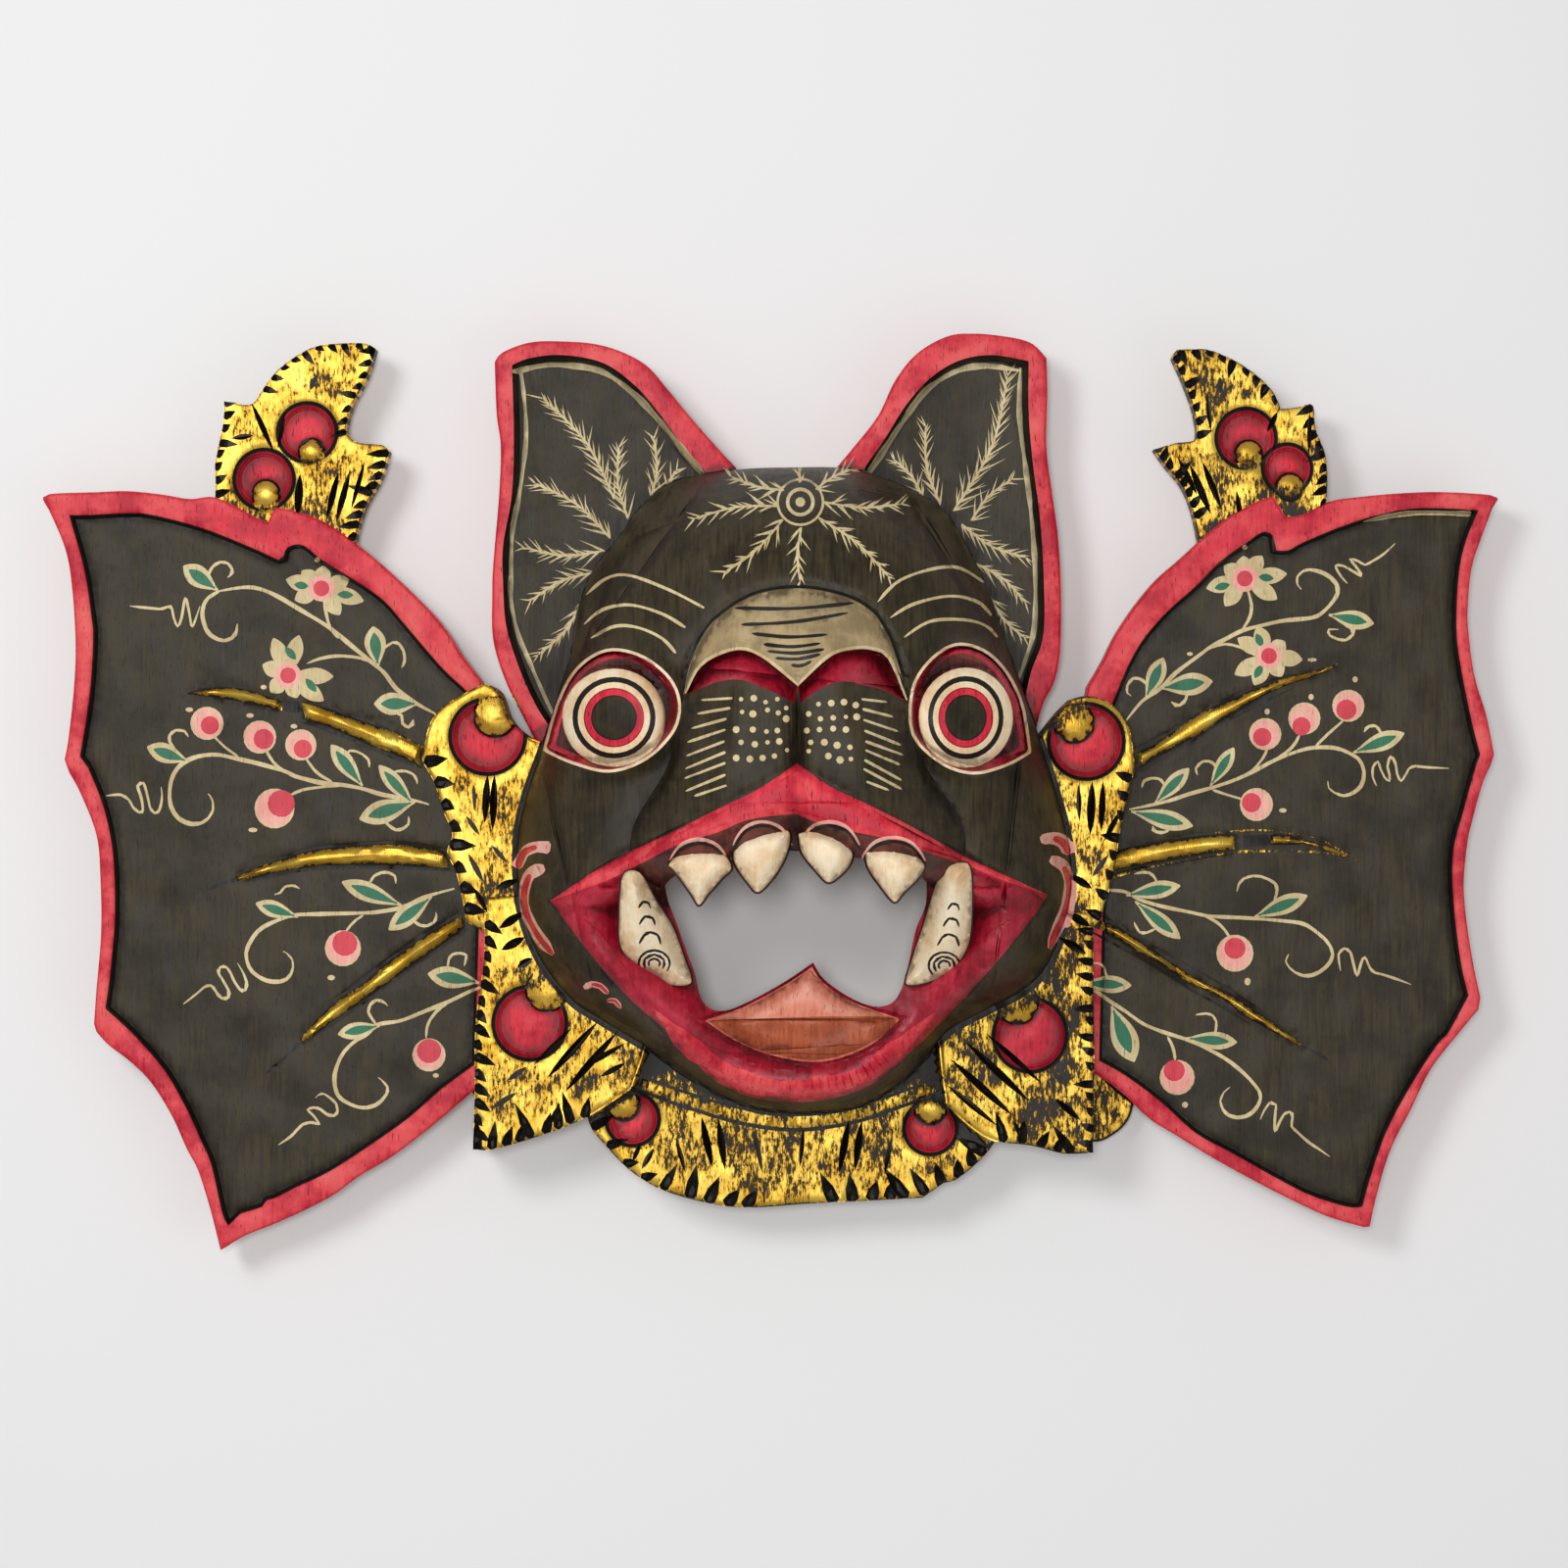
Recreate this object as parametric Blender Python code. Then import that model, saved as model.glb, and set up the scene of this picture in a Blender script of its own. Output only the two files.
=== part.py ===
"""Bat mask: a carved and painted wooden face with ears and two leaf-thin wings.

The mask lies on its back: the flat rim of the hollow face is at Z = 0, +Z points to the viewer,
+X is the viewer's right and +Y is the top of the head. Lengths are metres, and the carving is
placed in drawing units, which are shares of the wing span.
"""
import math

import bmesh
import bpy
import numpy as np

# Driving sizes (metres)
WING_SPAN = 0.505            # tip to tip; every outline below is a share of it
BOARD_BACK = 0.012           # back of the wing boards above the rim of the face
BOARD_THICKNESS = 0.012      # wing boards, back to the top of the red edge
FIELD_DEPTH = 0.0032         # the black field lies below the red edge
CREST_DROP = 0.001           # the gold crests end below the red edge
CREST_BACK_STEP = 0.0012     # and their backs lie in front of the board's back
RIB_WIDTH = 0.0062           # gold ribs where they are widest
RIB_RISE = 0.0030            # gold ribs above the black field
FIT_GAP = 0.0003             # between a wing and the face
ORNAMENT_THICKNESS = 0.0125  # gold scrolls and leaves that cover the wing roots
LEAF_RISE = 0.0015           # the lower leaves stand in front of the side scrolls
COLLAR_BACK = 0.0105
COLLAR_THICKNESS = 0.0185
ORNAMENT_FOOT = 0.0085       # backs of the ornaments above the rim of the face
LEAF_FOOT = 0.0095           # and of the leaves
EAR_BACK = 0.008
EAR_THICKNESS = 0.0155
EAR_FIELD_DEPTH = 0.0045     # black inside of an ear below its red edge
EDGE_HEIGHT = 0.026          # height at which the rounded face meets its straight side
FACE_ROUND = 0.062           # rise of the rounded face above that
SNOUT_RISE = 0.0235          # snout above the cheeks
NOSTRIL_DEPTH = 0.012        # floor of the nostrils below the tip of the nose
MOUTH_DEPTH = 0.018          # inside of the mouth below the lips
WALL = 0.011                 # wall of the hollow face
EYE_RADIUS = 0.0178          # rim of the eyeball, seen from the front
EYE_SQUASH = 0.48            # its depth as a share of its width
EYE_RISE = 0.0062            # eyeball above its socket
EYE_LEAN = 0.42              # slope of the eyes to the sides of the face
TOOTH_SETBACK = 0.0095       # the teeth stand behind the front of the lip
TOOTH_DEPTH = 0.012          # upper teeth, front to back
TUSK_RADIUS = 0.0084         # tusks at the root
SCROLL_DEPTH = 0.0030        # red commas below the gold
GROOVE_DEPTH = 0.0028
LUG_FOOT = 0.0030            # backs of the root blocks that the wings lie on
VIEW_DISTANCE = 1.6          # the drawing is a view from this far in front of the wings

# Drawing units
DRAWN_SPAN = 1485.5
DRAWN_CENTRE = (786.25, 808.0)
UNIT = WING_SPAN / DRAWN_SPAN
BOARD_FRONT = BOARD_BACK + BOARD_THICKNESS
FIELD_HEIGHT = BOARD_FRONT - FIELD_DEPTH
ORNAMENT_BACK = BOARD_FRONT + FIT_GAP
ORNAMENT_FRONT = ORNAMENT_BACK + ORNAMENT_THICKNESS
CREST_FRONT = BOARD_FRONT - CREST_DROP
LEAF_FRONT = ORNAMENT_FRONT + LEAF_RISE
COLLAR_FRONT = COLLAR_BACK + COLLAR_THICKNESS
NOSTRIL_FLOOR = EDGE_HEIGHT + FACE_ROUND + SNOUT_RISE - NOSTRIL_DEPTH

# Outlines in drawing units, x to the right and y downwards, one list for each arc.
FACE_OUTLINE = [
    [(582, 671), (606, 581), (655, 516), (725, 483), (806, 477), (888, 483), (962, 520),
     (1006, 598), (1037, 687), (1066, 768), (1092, 855), (1086, 948), (1045, 1008), (970, 1052),
     (921, 1103), (870, 1129), (806, 1134), (749, 1123), (700, 1097), (640, 1058), (582, 1020),
     (540, 955), (525, 880), (533, 815), (551, 768), (563, 715), (582, 671)],
]
EAR_LEFT = [
    [(504.5, 369), (541, 349), (606, 350.6), (660, 373), (700, 420), (751, 477)],
    [(751, 477), (740, 580), (670, 700), (600, 770), (555, 762)],
    [(555, 762), (524, 716), (502, 640), (503, 576), (510, 475), (504.5, 369)],
]
EAR_LEFT_FIELD = [
    [(523, 373), (574, 363), (640, 386), (684, 440), (738, 500)],
    [(738, 500), (720, 600), (660, 690), (590, 745), (559, 738)],
    [(559, 738), (529, 678), (514, 595), (524, 495), (523, 373)],
]
EAR_RIGHT = [
    [(853.5, 477), (896, 424), (933, 363), (982, 340), (1051, 349), (1068, 372)],
    [(1068, 372), (1068, 455), (1081, 565), (1082, 663), (1064, 720), (1053, 762)],
    [(1053, 762), (1000, 770), (930, 700), (860, 580), (853.5, 477)],
]
EAR_RIGHT_FIELD = [
    [(870, 498), (925, 414), (978, 369), (1049, 369)],
    [(1049, 369), (1053, 475), (1064, 581), (1060, 668), (1043, 725)],
    [(1043, 725), (1000, 745), (940, 690), (880, 600), (870, 498)],
]
WING_LEFT = [
    [(43.5, 510), (100, 502), (165, 504.5), (217, 507), (261, 528), (273, 533)],
    [(280, 517.5), (330, 532), (380, 568.5), (440, 625), (472, 670), (491.5, 695.5)],
    [(491.5, 695.5), (511, 760), (513, 850), (512, 960), (500, 1098)],
    [(500, 1098), (428.5, 1159), (367, 1200), (311, 1235), (250, 1261), (224.7, 1276)],
    [(224.7, 1276), (202, 1195), (175, 1138.6), (132, 1083), (96, 1047)],
    [(96, 1047), (101, 985), (103, 923.5), (91.5, 833), (65.5, 775)],
    [(65.5, 775), (75, 701), (76.5, 643.5), (66.5, 561), (43.5, 510)],
]
WING_LEFT_FIELD = [
    [(71, 526), (130, 524), (205, 539), (284, 572)],
    [(293.5, 559), (309, 557), (372, 599), (434, 661), (472, 702), (486, 716)],
    [(486, 716), (490, 850), (480, 1086)],
    [(480, 1086), (424, 1134), (340, 1192.5), (233, 1250)],
    [(233, 1250), (206, 1165), (168, 1092), (108, 1029)],
    [(108, 1029), (117.5, 933), (106, 823.5), (82, 773)],
    [(82, 773), (94.4, 684), (89, 603), (71, 526)],
]
WING_RIGHT = [
    [(1529, 509), (1473, 502), (1424, 504), (1356, 512), (1311, 527.7)],
    [(1300, 506), (1245, 534), (1180, 592), (1138, 649), (1110, 701)],
    [(1110, 701), (1101, 760), (1100, 850), (1101, 960), (1108, 1090)],
    [(1108, 1090), (1166, 1133), (1229, 1178), (1295, 1214), (1398, 1252.6)],
    [(1398, 1252.6), (1418, 1181), (1458, 1092), (1510, 1028)],
    [(1510, 1028), (1497, 950), (1496, 880), (1504, 825), (1525.5, 770)],
    [(1525.5, 770), (1508.6, 701), (1499, 620), (1505, 555), (1529, 509)],
]
WING_RIGHT_FIELD = [
    [(1505, 521), (1424, 528), (1375, 537), (1304, 562)],
    [(1296, 545), (1245, 574), (1193, 623), (1154, 675), (1135, 719)],
    [(1135, 719), (1128, 850), (1124, 1080)],
    [(1124, 1080), (1159, 1105), (1226, 1155), (1299, 1198), (1390, 1229)],
    [(1390, 1229), (1411.5, 1158), (1441, 1092), (1494, 1017)],
    [(1494, 1017), (1483, 930), (1487.5, 854), (1510, 769.5)],
    [(1510, 769.5), (1489, 665), (1487.5, 578), (1505, 521)],
]
CREST_LEFT = [
    [(219, 540), (219, 480), (227, 431), (228, 409)],
    [(228, 409), (248, 411), (259, 409), (282, 378), (323, 352.6), (372, 350), (383, 355)],
    [(383, 355), (365, 399), (353, 440), (364, 451), (397, 459)],
    [(397, 459), (388, 488), (366, 531), (363, 560)],
    [(363, 560), (300, 560), (219, 540)],
]
CREST_RIGHT = [
    [(1225, 562), (1219, 527), (1199, 487), (1178, 458)],
    [(1178, 458), (1221, 447), (1219, 420), (1197, 361)],
    [(1197, 361), (1236, 357), (1281, 379), (1302, 404), (1311, 415), (1340, 413)],
    [(1340, 413), (1348, 450), (1354, 482), (1352, 530)],
    [(1352, 530), (1290, 550), (1225, 562)],
]
SCROLL_PLATE_LEFT = [
    [(497, 698), (459, 718), (437, 757), (434, 790), (450, 850), (462, 890), (476, 940)],
    [(476, 940), (540, 960), (600, 900), (600, 800), (560, 760)],
    [(560, 760), (526, 727), (511, 706), (497, 698)],
]
SCROLL_PLATE_RIGHT = [
    [(1113, 710), (1140, 724), (1155, 757), (1157, 792), (1146, 850), (1136, 890), (1118, 945)],
    [(1118, 945), (1060, 960), (1010, 900), (1010, 800), (1050, 765)],
    [(1050, 765), (1074, 738), (1090, 715), (1113, 710)],
]
LEAF_LEFT = [
    [(500, 915), (497, 980), (488, 1042), (488, 1111), (485, 1170)],
    [(485, 1170), (553, 1156), (605, 1136), (645, 1108)],
    [(645, 1108), (660, 1040), (620, 960), (560, 915), (500, 915)],
]
LEAF_RIGHT = [
    [(1113, 930), (1113, 989), (1114, 1080), (1113, 1173)],
    [(1113, 1173), (1051, 1166), (1006, 1158), (965, 1125)],
    [(965, 1125), (960, 1040), (1000, 960), (1060, 930), (1113, 930)],
]
COLLAR = [
    [(598, 1120), (615, 1164), (676, 1213), (766, 1231), (827, 1227), (941, 1221)],
    [(941, 1221), (978, 1201), (1023, 1150)],
    [(1023, 1150), (990, 1080), (940, 1060), (806, 1090), (680, 1060), (598, 1120)],
]
MOUTH_OUTLINE = [
    [(562, 919), (623, 880), (684, 852), (760, 812), (814, 778)],
    [(814, 778), (860, 807), (929, 844), (1000, 880), (1070, 913)],
    [(1070, 913), (1011, 989), (950, 1055), (888, 1107), (840, 1122), (806, 1124), (766, 1118),
     (725, 1099), (684, 1062), (625, 1000), (562, 919)],
]
SNOUT_OUTLINE = [
    [(698, 708), (709, 667), (733, 630), (770, 607), (815, 600), (858, 607), (888, 622),
     (913, 659), (927, 716)],
    [(927, 716), (945, 780), (985, 850), (960, 905), (815, 930), (665, 905), (645, 850),
     (682, 780), (698, 708)],
]
NOSTRIL_LEFT = [
    [(704, 708), (716, 686), (737, 672), (758, 667), (784, 677), (815, 702)],
    [(815, 702), (814, 719), (786, 704), (758, 693.5), (733, 695.5), (704, 708)],
]
NOSTRIL_RIGHT = [
    [(815, 702), (839, 677), (868, 666), (896, 670), (914, 684), (922, 714)],
    [(922, 714), (888, 700), (860, 695), (836, 704), (815, 719), (815, 702)],
]
TONGUE_OUTLINE = [
    [(830, 982), (870, 1018), (925, 1038)],
    [(925, 1038), (888, 1070), (839, 1086), (790, 1080), (749, 1064), (715, 1040)],
    [(715, 1040), (780, 1014), (830, 982)],
]
MOUTH_HOLE = [
    [(684, 905), (700, 890), (760, 868), (815, 862), (880, 872), (935, 890), (945, 900)],
    [(945, 900), (935, 948), (923, 1001), (896, 1027), (860, 1007), (830, 982)],
    [(830, 982), (780, 1014), (735, 1031), (715, 1017), (700, 968), (684, 905)],
]
EYE_LIDS = {
    "left": [(556, 765), (571, 715), (590, 682), (619, 664), (651, 668), (680, 688), (693, 714),
             (688, 744), (660, 773), (623, 786), (586, 778), (556, 765)],
    "right": [(1051, 767), (1043, 720), (1027, 686), (1004, 664), (975, 658), (948, 676),
              (932, 705), (933, 749), (962, 778), (994, 788), (1027, 780), (1051, 767)],
}
EYE_CENTRES = {"left": (627, 731), "right": (985, 731)}
# Upper teeth: middle of the root, tip and half width.
TEETH = [((714, 868), (713.5, 925), 31), ((779, 850), (775, 911), 30),
         ((847, 850), (844.5, 900), 31), ((912, 866), (913, 921), 32)]
# Tusks: point, middle and root.
TUSKS = [((645, 893), (662, 935), (686, 992)), ((981, 888), (968, 935), (944, 992))]
TOOTH_PROFILE = [0.5, 0.95, 1.0, 1.0, 0.9, 0.7, 0.45, 0.2, 0.05]
TUSK_PROFILE = [0.4, 0.52, 0.6, 0.68, 0.78, 0.9, 1.0, 0.98, 0.6]
# Red commas in the gold: centre, radius, knob centre, knob radius.
COMMAS = {
    "scroll_left": ((500, 748), 40, (504, 727), 23),
    "scroll_right": ((1108, 756), 38, (1095, 738), 21),
    "leaf_left": ((543, 1042), 36, (560, 1011), 20),
    "leaf_right": ((1049, 1054), 36, (1040, 1020), 20),
    "collar_left": ((646, 1141), 26, (637, 1127), 15),
    "collar_right": ((949, 1150), 26, (949, 1131), 15),
}
CREST_COMMAS = {
    "left": [((313, 441), 28, (317, 460), 13), ((269, 489), 29, (270.5, 503.5), 14)],
    "right": [((1272, 447), 29, (1275, 463), 14), ((1314, 478), 24, (1317, 497), 13)],
}
# Long V-cuts: start, end and width.
FACE_GROOVES = [
    ((500, 795), (497, 840), 12), ((506, 795), (504, 842), 10),
    ((1112, 800), (1112, 850), 12), ((1123, 800), (1121, 845), 9),
    ((575, 1070), (620, 1042), 10), ((588, 1090), (634, 1058), 10),
    ((1035, 1110), (985, 1062), 10), ((1050, 1096), (1000, 1050), 9),
    ((722, 1140), (727, 1188), 9), ((736, 1142), (740, 1190), 9),
    ((856, 1190), (864, 1142), 9), ((873, 1190), (879, 1142), 9),
]
WING_GROOVES = {
    "left": [((346, 481), (334, 529), 8), ((358, 480), (343, 532), 8), ((256, 410), (279, 461), 6)],
    "right": [((1214, 473), (1236, 525), 8), ((1227, 470), (1247, 520), 7),
              ((1300, 415), (1292, 437), 7)],
}
# Gold ribs from the root to the tip, and where each is widest as a share of RIB_WIDTH.
RIBS = {
    "left": [([(434, 771), (357, 742), (296, 722), (214, 705), (189, 707)], 1.0),
             ([(462, 878), (404, 873), (357, 873), (286, 884), (222, 906)], 1.0),
             ([(474, 940), (420, 978), (350, 1027), (306, 1064)], 0.62)],
    "right": [([(1152, 780), (1200, 755), (1261, 723), (1310, 699), (1362, 680)], 0.92),
              ([(1120, 886), (1180, 866), (1258, 857), (1326, 860), (1388, 878)], 0.92),
              ([(1108, 935), (1180, 985), (1260, 1028), (1342, 1075)], 0.62)],
}
LUGS = {
    "left": [(470, 1040), (512, 1030), (560, 1060), (560, 1120), (490, 1125), (476, 1100)],
    "right": [(1060, 1060), (1105, 1060), (1128, 1100), (1160, 1128), (1152, 1148), (1118, 1168),
              (1090, 1150), (1060, 1120)],
}
NOTCH_PITCH = 21.0           # drawing units between the cuts along a gold edge
NOTCH_DEPTH = 4.2            # drawing units

PLANNED = []                 # Booleans, in their order

COLOURS = {
    "mask_head": (0.035, 0.032, 0.026, 1.0),
    "wing_left": (0.045, 0.042, 0.034, 1.0),
    "wing_right": (0.045, 0.042, 0.034, 1.0),
}


def place(point, height=None):
    """Drawing point to metres; with a height, seen past the height by the drawing's viewer."""
    x = (point[0] - DRAWN_CENTRE[0]) * UNIT
    y = (DRAWN_CENTRE[1] - point[1]) * UNIT
    if height is None:
        return x, y
    nearer = 1.0 - (height - BOARD_FRONT) / VIEW_DISTANCE
    return x * nearer, y * nearer, height


def spline(points, steps):
    """Catmull-Rom curve through the points, without its last point."""
    curve = []
    padded = [points[0]] + list(points) + [points[-1]]
    for i in range(len(points) - 1):
        a, b, c, d = (np.array(p, dtype=float) for p in padded[i:i + 4])
        for k in range(steps):
            t = k / steps
            curve.append(tuple(0.5 * (2 * b + (c - a) * t + (2 * a - 5 * b + 4 * c - d) * t * t
                                      + (3 * b - a - 3 * c + d) * t ** 3)))
    return curve


def outline(arcs, steps=2):
    """Closed drawing outline from arcs that meet in corners."""
    points = []
    for arc in arcs:
        points += spline(arc, steps)
        if math.dist(arc[-1], arcs[(arcs.index(arc) + 1) % len(arcs)][0]) > 1.0:
            points.append(arc[-1])
    return points


def notched(arc, steps_per_notch=2):
    """An arc whose edge is cut into the small steps of a carved feather edge."""
    dense = np.array(spline(arc, 12) + [arc[-1]], dtype=float)
    run = np.concatenate([[0.0], np.cumsum(np.linalg.norm(np.diff(dense, axis=0), axis=1))])
    count = max(2, int(run[-1] / NOTCH_PITCH))
    cut = []
    for i in range(count * steps_per_notch):
        s = run[-1] * i / (count * steps_per_notch)
        x = np.interp(s, run, dense[:, 0])
        y = np.interp(s, run, dense[:, 1])
        ahead = min(s + 1.0, run[-1])
        tx = np.interp(ahead, run, dense[:, 0]) - x
        ty = np.interp(ahead, run, dense[:, 1]) - y
        length = math.hypot(tx, ty) or 1.0
        depth = NOTCH_DEPTH if i % steps_per_notch == 1 else 0.0
        cut.append((x - ty / length * depth, y + tx / length * depth))
    cut.append(tuple(arc[-1]))
    return cut


def metres(points):
    return np.array([place(p) for p in points])


def grown(points, amount):
    """Outline in metres moved out by an amount along the mean of its sides' normals."""
    shape = np.asarray(points, dtype=float)
    area = np.sum(shape[:, 0] * np.roll(shape[:, 1], -1) - np.roll(shape[:, 0], -1) * shape[:, 1])
    side = np.roll(shape, -1, axis=0) - shape
    side /= np.linalg.norm(side, axis=1)[:, None]
    normal = np.column_stack([side[:, 1], -side[:, 0]]) * np.sign(area)
    mean = normal + np.roll(normal, 1, axis=0)
    mean /= np.maximum(np.linalg.norm(mean, axis=1), 0.5)[:, None]
    return shape + mean * amount


def distance_inside(points, shape):
    """Distance from points to a closed outline, positive inside it."""
    points = np.atleast_2d(points)
    a = shape
    b = np.roll(shape, -1, axis=0)
    side = b - a
    to_point = points[:, None, :] - a[None]
    along = np.clip((to_point * side).sum(2) / (side * side).sum(1), 0.0, 1.0)
    nearest = np.linalg.norm(to_point - along[..., None] * side, axis=2).min(1)
    above_a = a[None, :, 1] > points[:, None, 1]
    above_b = b[None, :, 1] > points[:, None, 1]
    run = side[None, :, 0] * (points[:, None, 1] - a[None, :, 1])
    rise = np.where(np.abs(side[None, :, 1]) < 1e-12, 1e-12, side[None, :, 1])
    crossing = (above_a != above_b) & (points[:, None, 0] < run / rise + a[None, :, 0])
    return np.where(crossing.sum(1) % 2 == 1, nearest, -nearest)


def ease(t):
    t = np.clip(t, 0.0, 1.0)
    return t * t * (3.0 - 2.0 * t)


def swell(distance, radius):
    """Quarter-sine rise over a radius from an edge."""
    return np.sin(np.clip(distance / radius, 0.0, 1.0) * math.pi / 2)


FACE_SHAPE = metres(outline(FACE_OUTLINE, 3))
MOUTH_SHAPE = metres(outline(MOUTH_OUTLINE))
SNOUT_SHAPE = metres(outline(SNOUT_OUTLINE))
TONGUE_SHAPE = metres(outline(TONGUE_OUTLINE))
HOLE_SHAPE = metres(outline(MOUTH_HOLE))
NOSTRIL_SHAPES = [metres(outline(NOSTRIL_LEFT)), metres(outline(NOSTRIL_RIGHT))]
LID_SHAPES = {side: metres(outline([lid])) for side, lid in EYE_LIDS.items()}


def round_radius(y):
    """How far in from its edge the face keeps rounding: wide on the forehead, tight at the jaw."""
    share = np.array([0.32, 0.40, 0.62, 0.50, 0.84, 0.86])
    levels = np.array([-300.0, -200.0, -20.0, 70.0, 190.0, 330.0]) * UNIT
    return np.interp(y, levels, share) * FACE_ROUND


def round_face(points):
    """Height of the plain rounded face over drawing points given in metres."""
    inside = np.clip(distance_inside(points, FACE_SHAPE), 0.0, None)
    share = np.clip(inside / round_radius(points[:, 1]), 0.0, 1.0)
    jaw = 1.0 - 0.2 * ease((-points[:, 1] / UNIT - 90.0) / 190.0)
    return EDGE_HEIGHT + FACE_ROUND * jaw * np.sqrt(1.0 - (1.0 - share) ** 2)


def bump(points, centre, radius_x, radius_y):
    x, y = place(centre)
    reach = ((points[:, 0] - x) / (radius_x * UNIT)) ** 2 + ((points[:, 1] - y) / (radius_y * UNIT)) ** 2
    return np.exp(-reach)


def face_height(points):
    """Carved front of the face: brows, snout, lips, mouth, tongue and eye sockets."""
    height = round_face(points)
    snout = distance_inside(points, SNOUT_SHAPE)
    height = height + SNOUT_RISE * swell(snout, 72 * UNIT)
    height += 0.10 * SNOUT_RISE * bump(points, (815, 668), 70, 45)
    for centre in ((756, 768), (874, 768)):
        height += 0.16 * SNOUT_RISE * bump(points, centre, 46, 52)
    crease = bump(points, (814, 775), 9, 60)
    height -= 0.14 * SNOUT_RISE * crease
    for nostril in NOSTRIL_SHAPES:
        height -= 0.20 * SNOUT_RISE * swell(distance_inside(points, nostril), 8 * UNIT)
    mouth = distance_inside(points, MOUTH_SHAPE)
    lip = np.clip(mouth / (44 * UNIT), 0.0, 1.0)
    upper = ease((points[:, 1] - place((800, 960))[1]) / (90 * UNIT))
    height += 0.0034 * np.sin(lip * math.pi) * upper
    height -= MOUTH_DEPTH * ease((mouth / UNIT - 34.0 * upper) / 62.0)
    tongue = distance_inside(points, TONGUE_SHAPE)
    height += 0.0075 * swell(tongue, 24 * UNIT)
    for side, lid in LID_SHAPES.items():
        inside = distance_inside(points, lid)
        height += 0.0022 * np.exp(-(inside / (9 * UNIT)) ** 2)
        height -= 0.0065 * swell(inside, 9 * UNIT)
    return height


def hollow_height(points):
    """Roof of the hollow behind the face, one wall below the lowest carving near by."""
    snout = SNOUT_RISE * swell(distance_inside(points, SNOUT_SHAPE), 130 * UNIT)
    lowest = round_face(points) + 0.8 * snout
    for reach in (0.0, 0.6, 1.2):
        for turn in np.arange(8) * math.pi / 4:
            beside = points + reach * WALL * np.array([math.cos(turn), math.sin(turn)])
            wood = distance_inside(beside, FACE_SHAPE) > 0
            wood &= distance_inside(beside, HOLE_SHAPE) < 0
            lowest = np.where(wood, np.minimum(lowest, face_height(beside)), lowest)
    return lowest - WALL


def new_object(name, bm, collection):
    mesh = bpy.data.meshes.new(name)
    bm.to_mesh(mesh)
    bm.free()
    obj = bpy.data.objects.new(name, mesh)
    collection.objects.link(obj)
    return obj


def plate(name, shape, back, front, collection):
    """Flat board of an outline in metres, from a filled and extruded curve."""
    curve = bpy.data.curves.new(name, "CURVE")
    curve.dimensions = "2D"
    curve.fill_mode = "BOTH"
    curve.extrude = (front - back) / 2
    line = curve.splines.new("POLY")
    line.points.add(len(shape) - 1)
    for point, (x, y) in zip(line.points, shape):
        point.co = (x, y, 0.0, 1.0)
    line.use_cyclic_u = True
    holder = bpy.data.objects.new(name + "_curve", curve)
    holder.location.z = (front + back) / 2
    collection.objects.link(holder)
    return curve_to_mesh(name, holder, collection)


def curve_to_mesh(name, holder, collection):
    bpy.context.view_layer.update()
    evaluated = holder.evaluated_get(bpy.context.evaluated_depsgraph_get())
    mesh = bpy.data.meshes.new_from_object(evaluated)
    bm = bmesh.new()
    bm.from_mesh(mesh)
    bmesh.ops.remove_doubles(bm, verts=bm.verts, dist=1e-6)
    bmesh.ops.recalc_face_normals(bm, faces=bm.faces)
    bm.to_mesh(mesh)
    bm.free()
    obj = bpy.data.objects.new(name, mesh)
    obj.matrix_world = holder.matrix_world.copy()
    collection.objects.link(obj)
    bpy.data.objects.remove(holder)
    return obj


def reach_to_edge(centre, angles, shape):
    """Distance from a centre to the outline in each direction."""
    reach = []
    a = shape - centre
    b = np.roll(shape, -1, axis=0) - centre
    for angle in angles:
        ray = np.array([math.cos(angle), math.sin(angle)])
        side = b - a
        cross = ray[0] * side[:, 1] - ray[1] * side[:, 0]
        cross = np.where(np.abs(cross) < 1e-12, 1e-12, cross)
        along = (a[:, 0] * side[:, 1] - a[:, 1] * side[:, 0]) / cross
        share = (a[:, 0] * ray[1] - a[:, 1] * ray[0]) / cross
        hits = along[(share >= -1e-9) & (share <= 1 + 1e-9) & (along > 0)]
        reach.append(hits.max())
    return np.array(reach)


def carved_dome(name, shape, height_of, floor, segments, rings, inset, collection):
    """Half a sphere pushed out to an outline and raised to a height, closed by a flat floor."""
    centre = np.array(place((812, 812)))
    bm = bmesh.new()
    bmesh.ops.create_uvsphere(bm, u_segments=segments, v_segments=rings * 2, radius=1.0)
    lower = [v for v in bm.verts if v.co.z < -1e-4]
    bmesh.ops.delete(bm, geom=lower, context="VERTS")
    flat = np.array([(v.co.x, v.co.y) for v in bm.verts])
    share = np.linalg.norm(flat, axis=1)
    angles = np.arctan2(flat[:, 1], flat[:, 0])
    reach = reach_to_edge(centre, angles, shape) - inset
    drawn = centre + np.column_stack([np.cos(angles), np.sin(angles)]) * (share * reach)[:, None]
    heights = height_of(drawn)
    for vertex, (x, y), height in zip(bm.verts, drawn, heights):
        nearer = 1.0 - (height - BOARD_FRONT) / VIEW_DISTANCE
        vertex.co = (x * nearer, y * nearer, height)
    rim = [e for e in bm.edges if e.is_boundary]
    ring = bmesh.ops.extrude_edge_only(bm, edges=rim)["geom"]
    for vertex in (v for v in ring if isinstance(v, bmesh.types.BMVert)):
        vertex.co.z = floor
    bmesh.ops.holes_fill(bm, edges=[e for e in bm.edges if e.is_boundary], sides=0)
    bmesh.ops.recalc_face_normals(bm, faces=bm.faces)
    return new_object(name, bm, collection)


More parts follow.
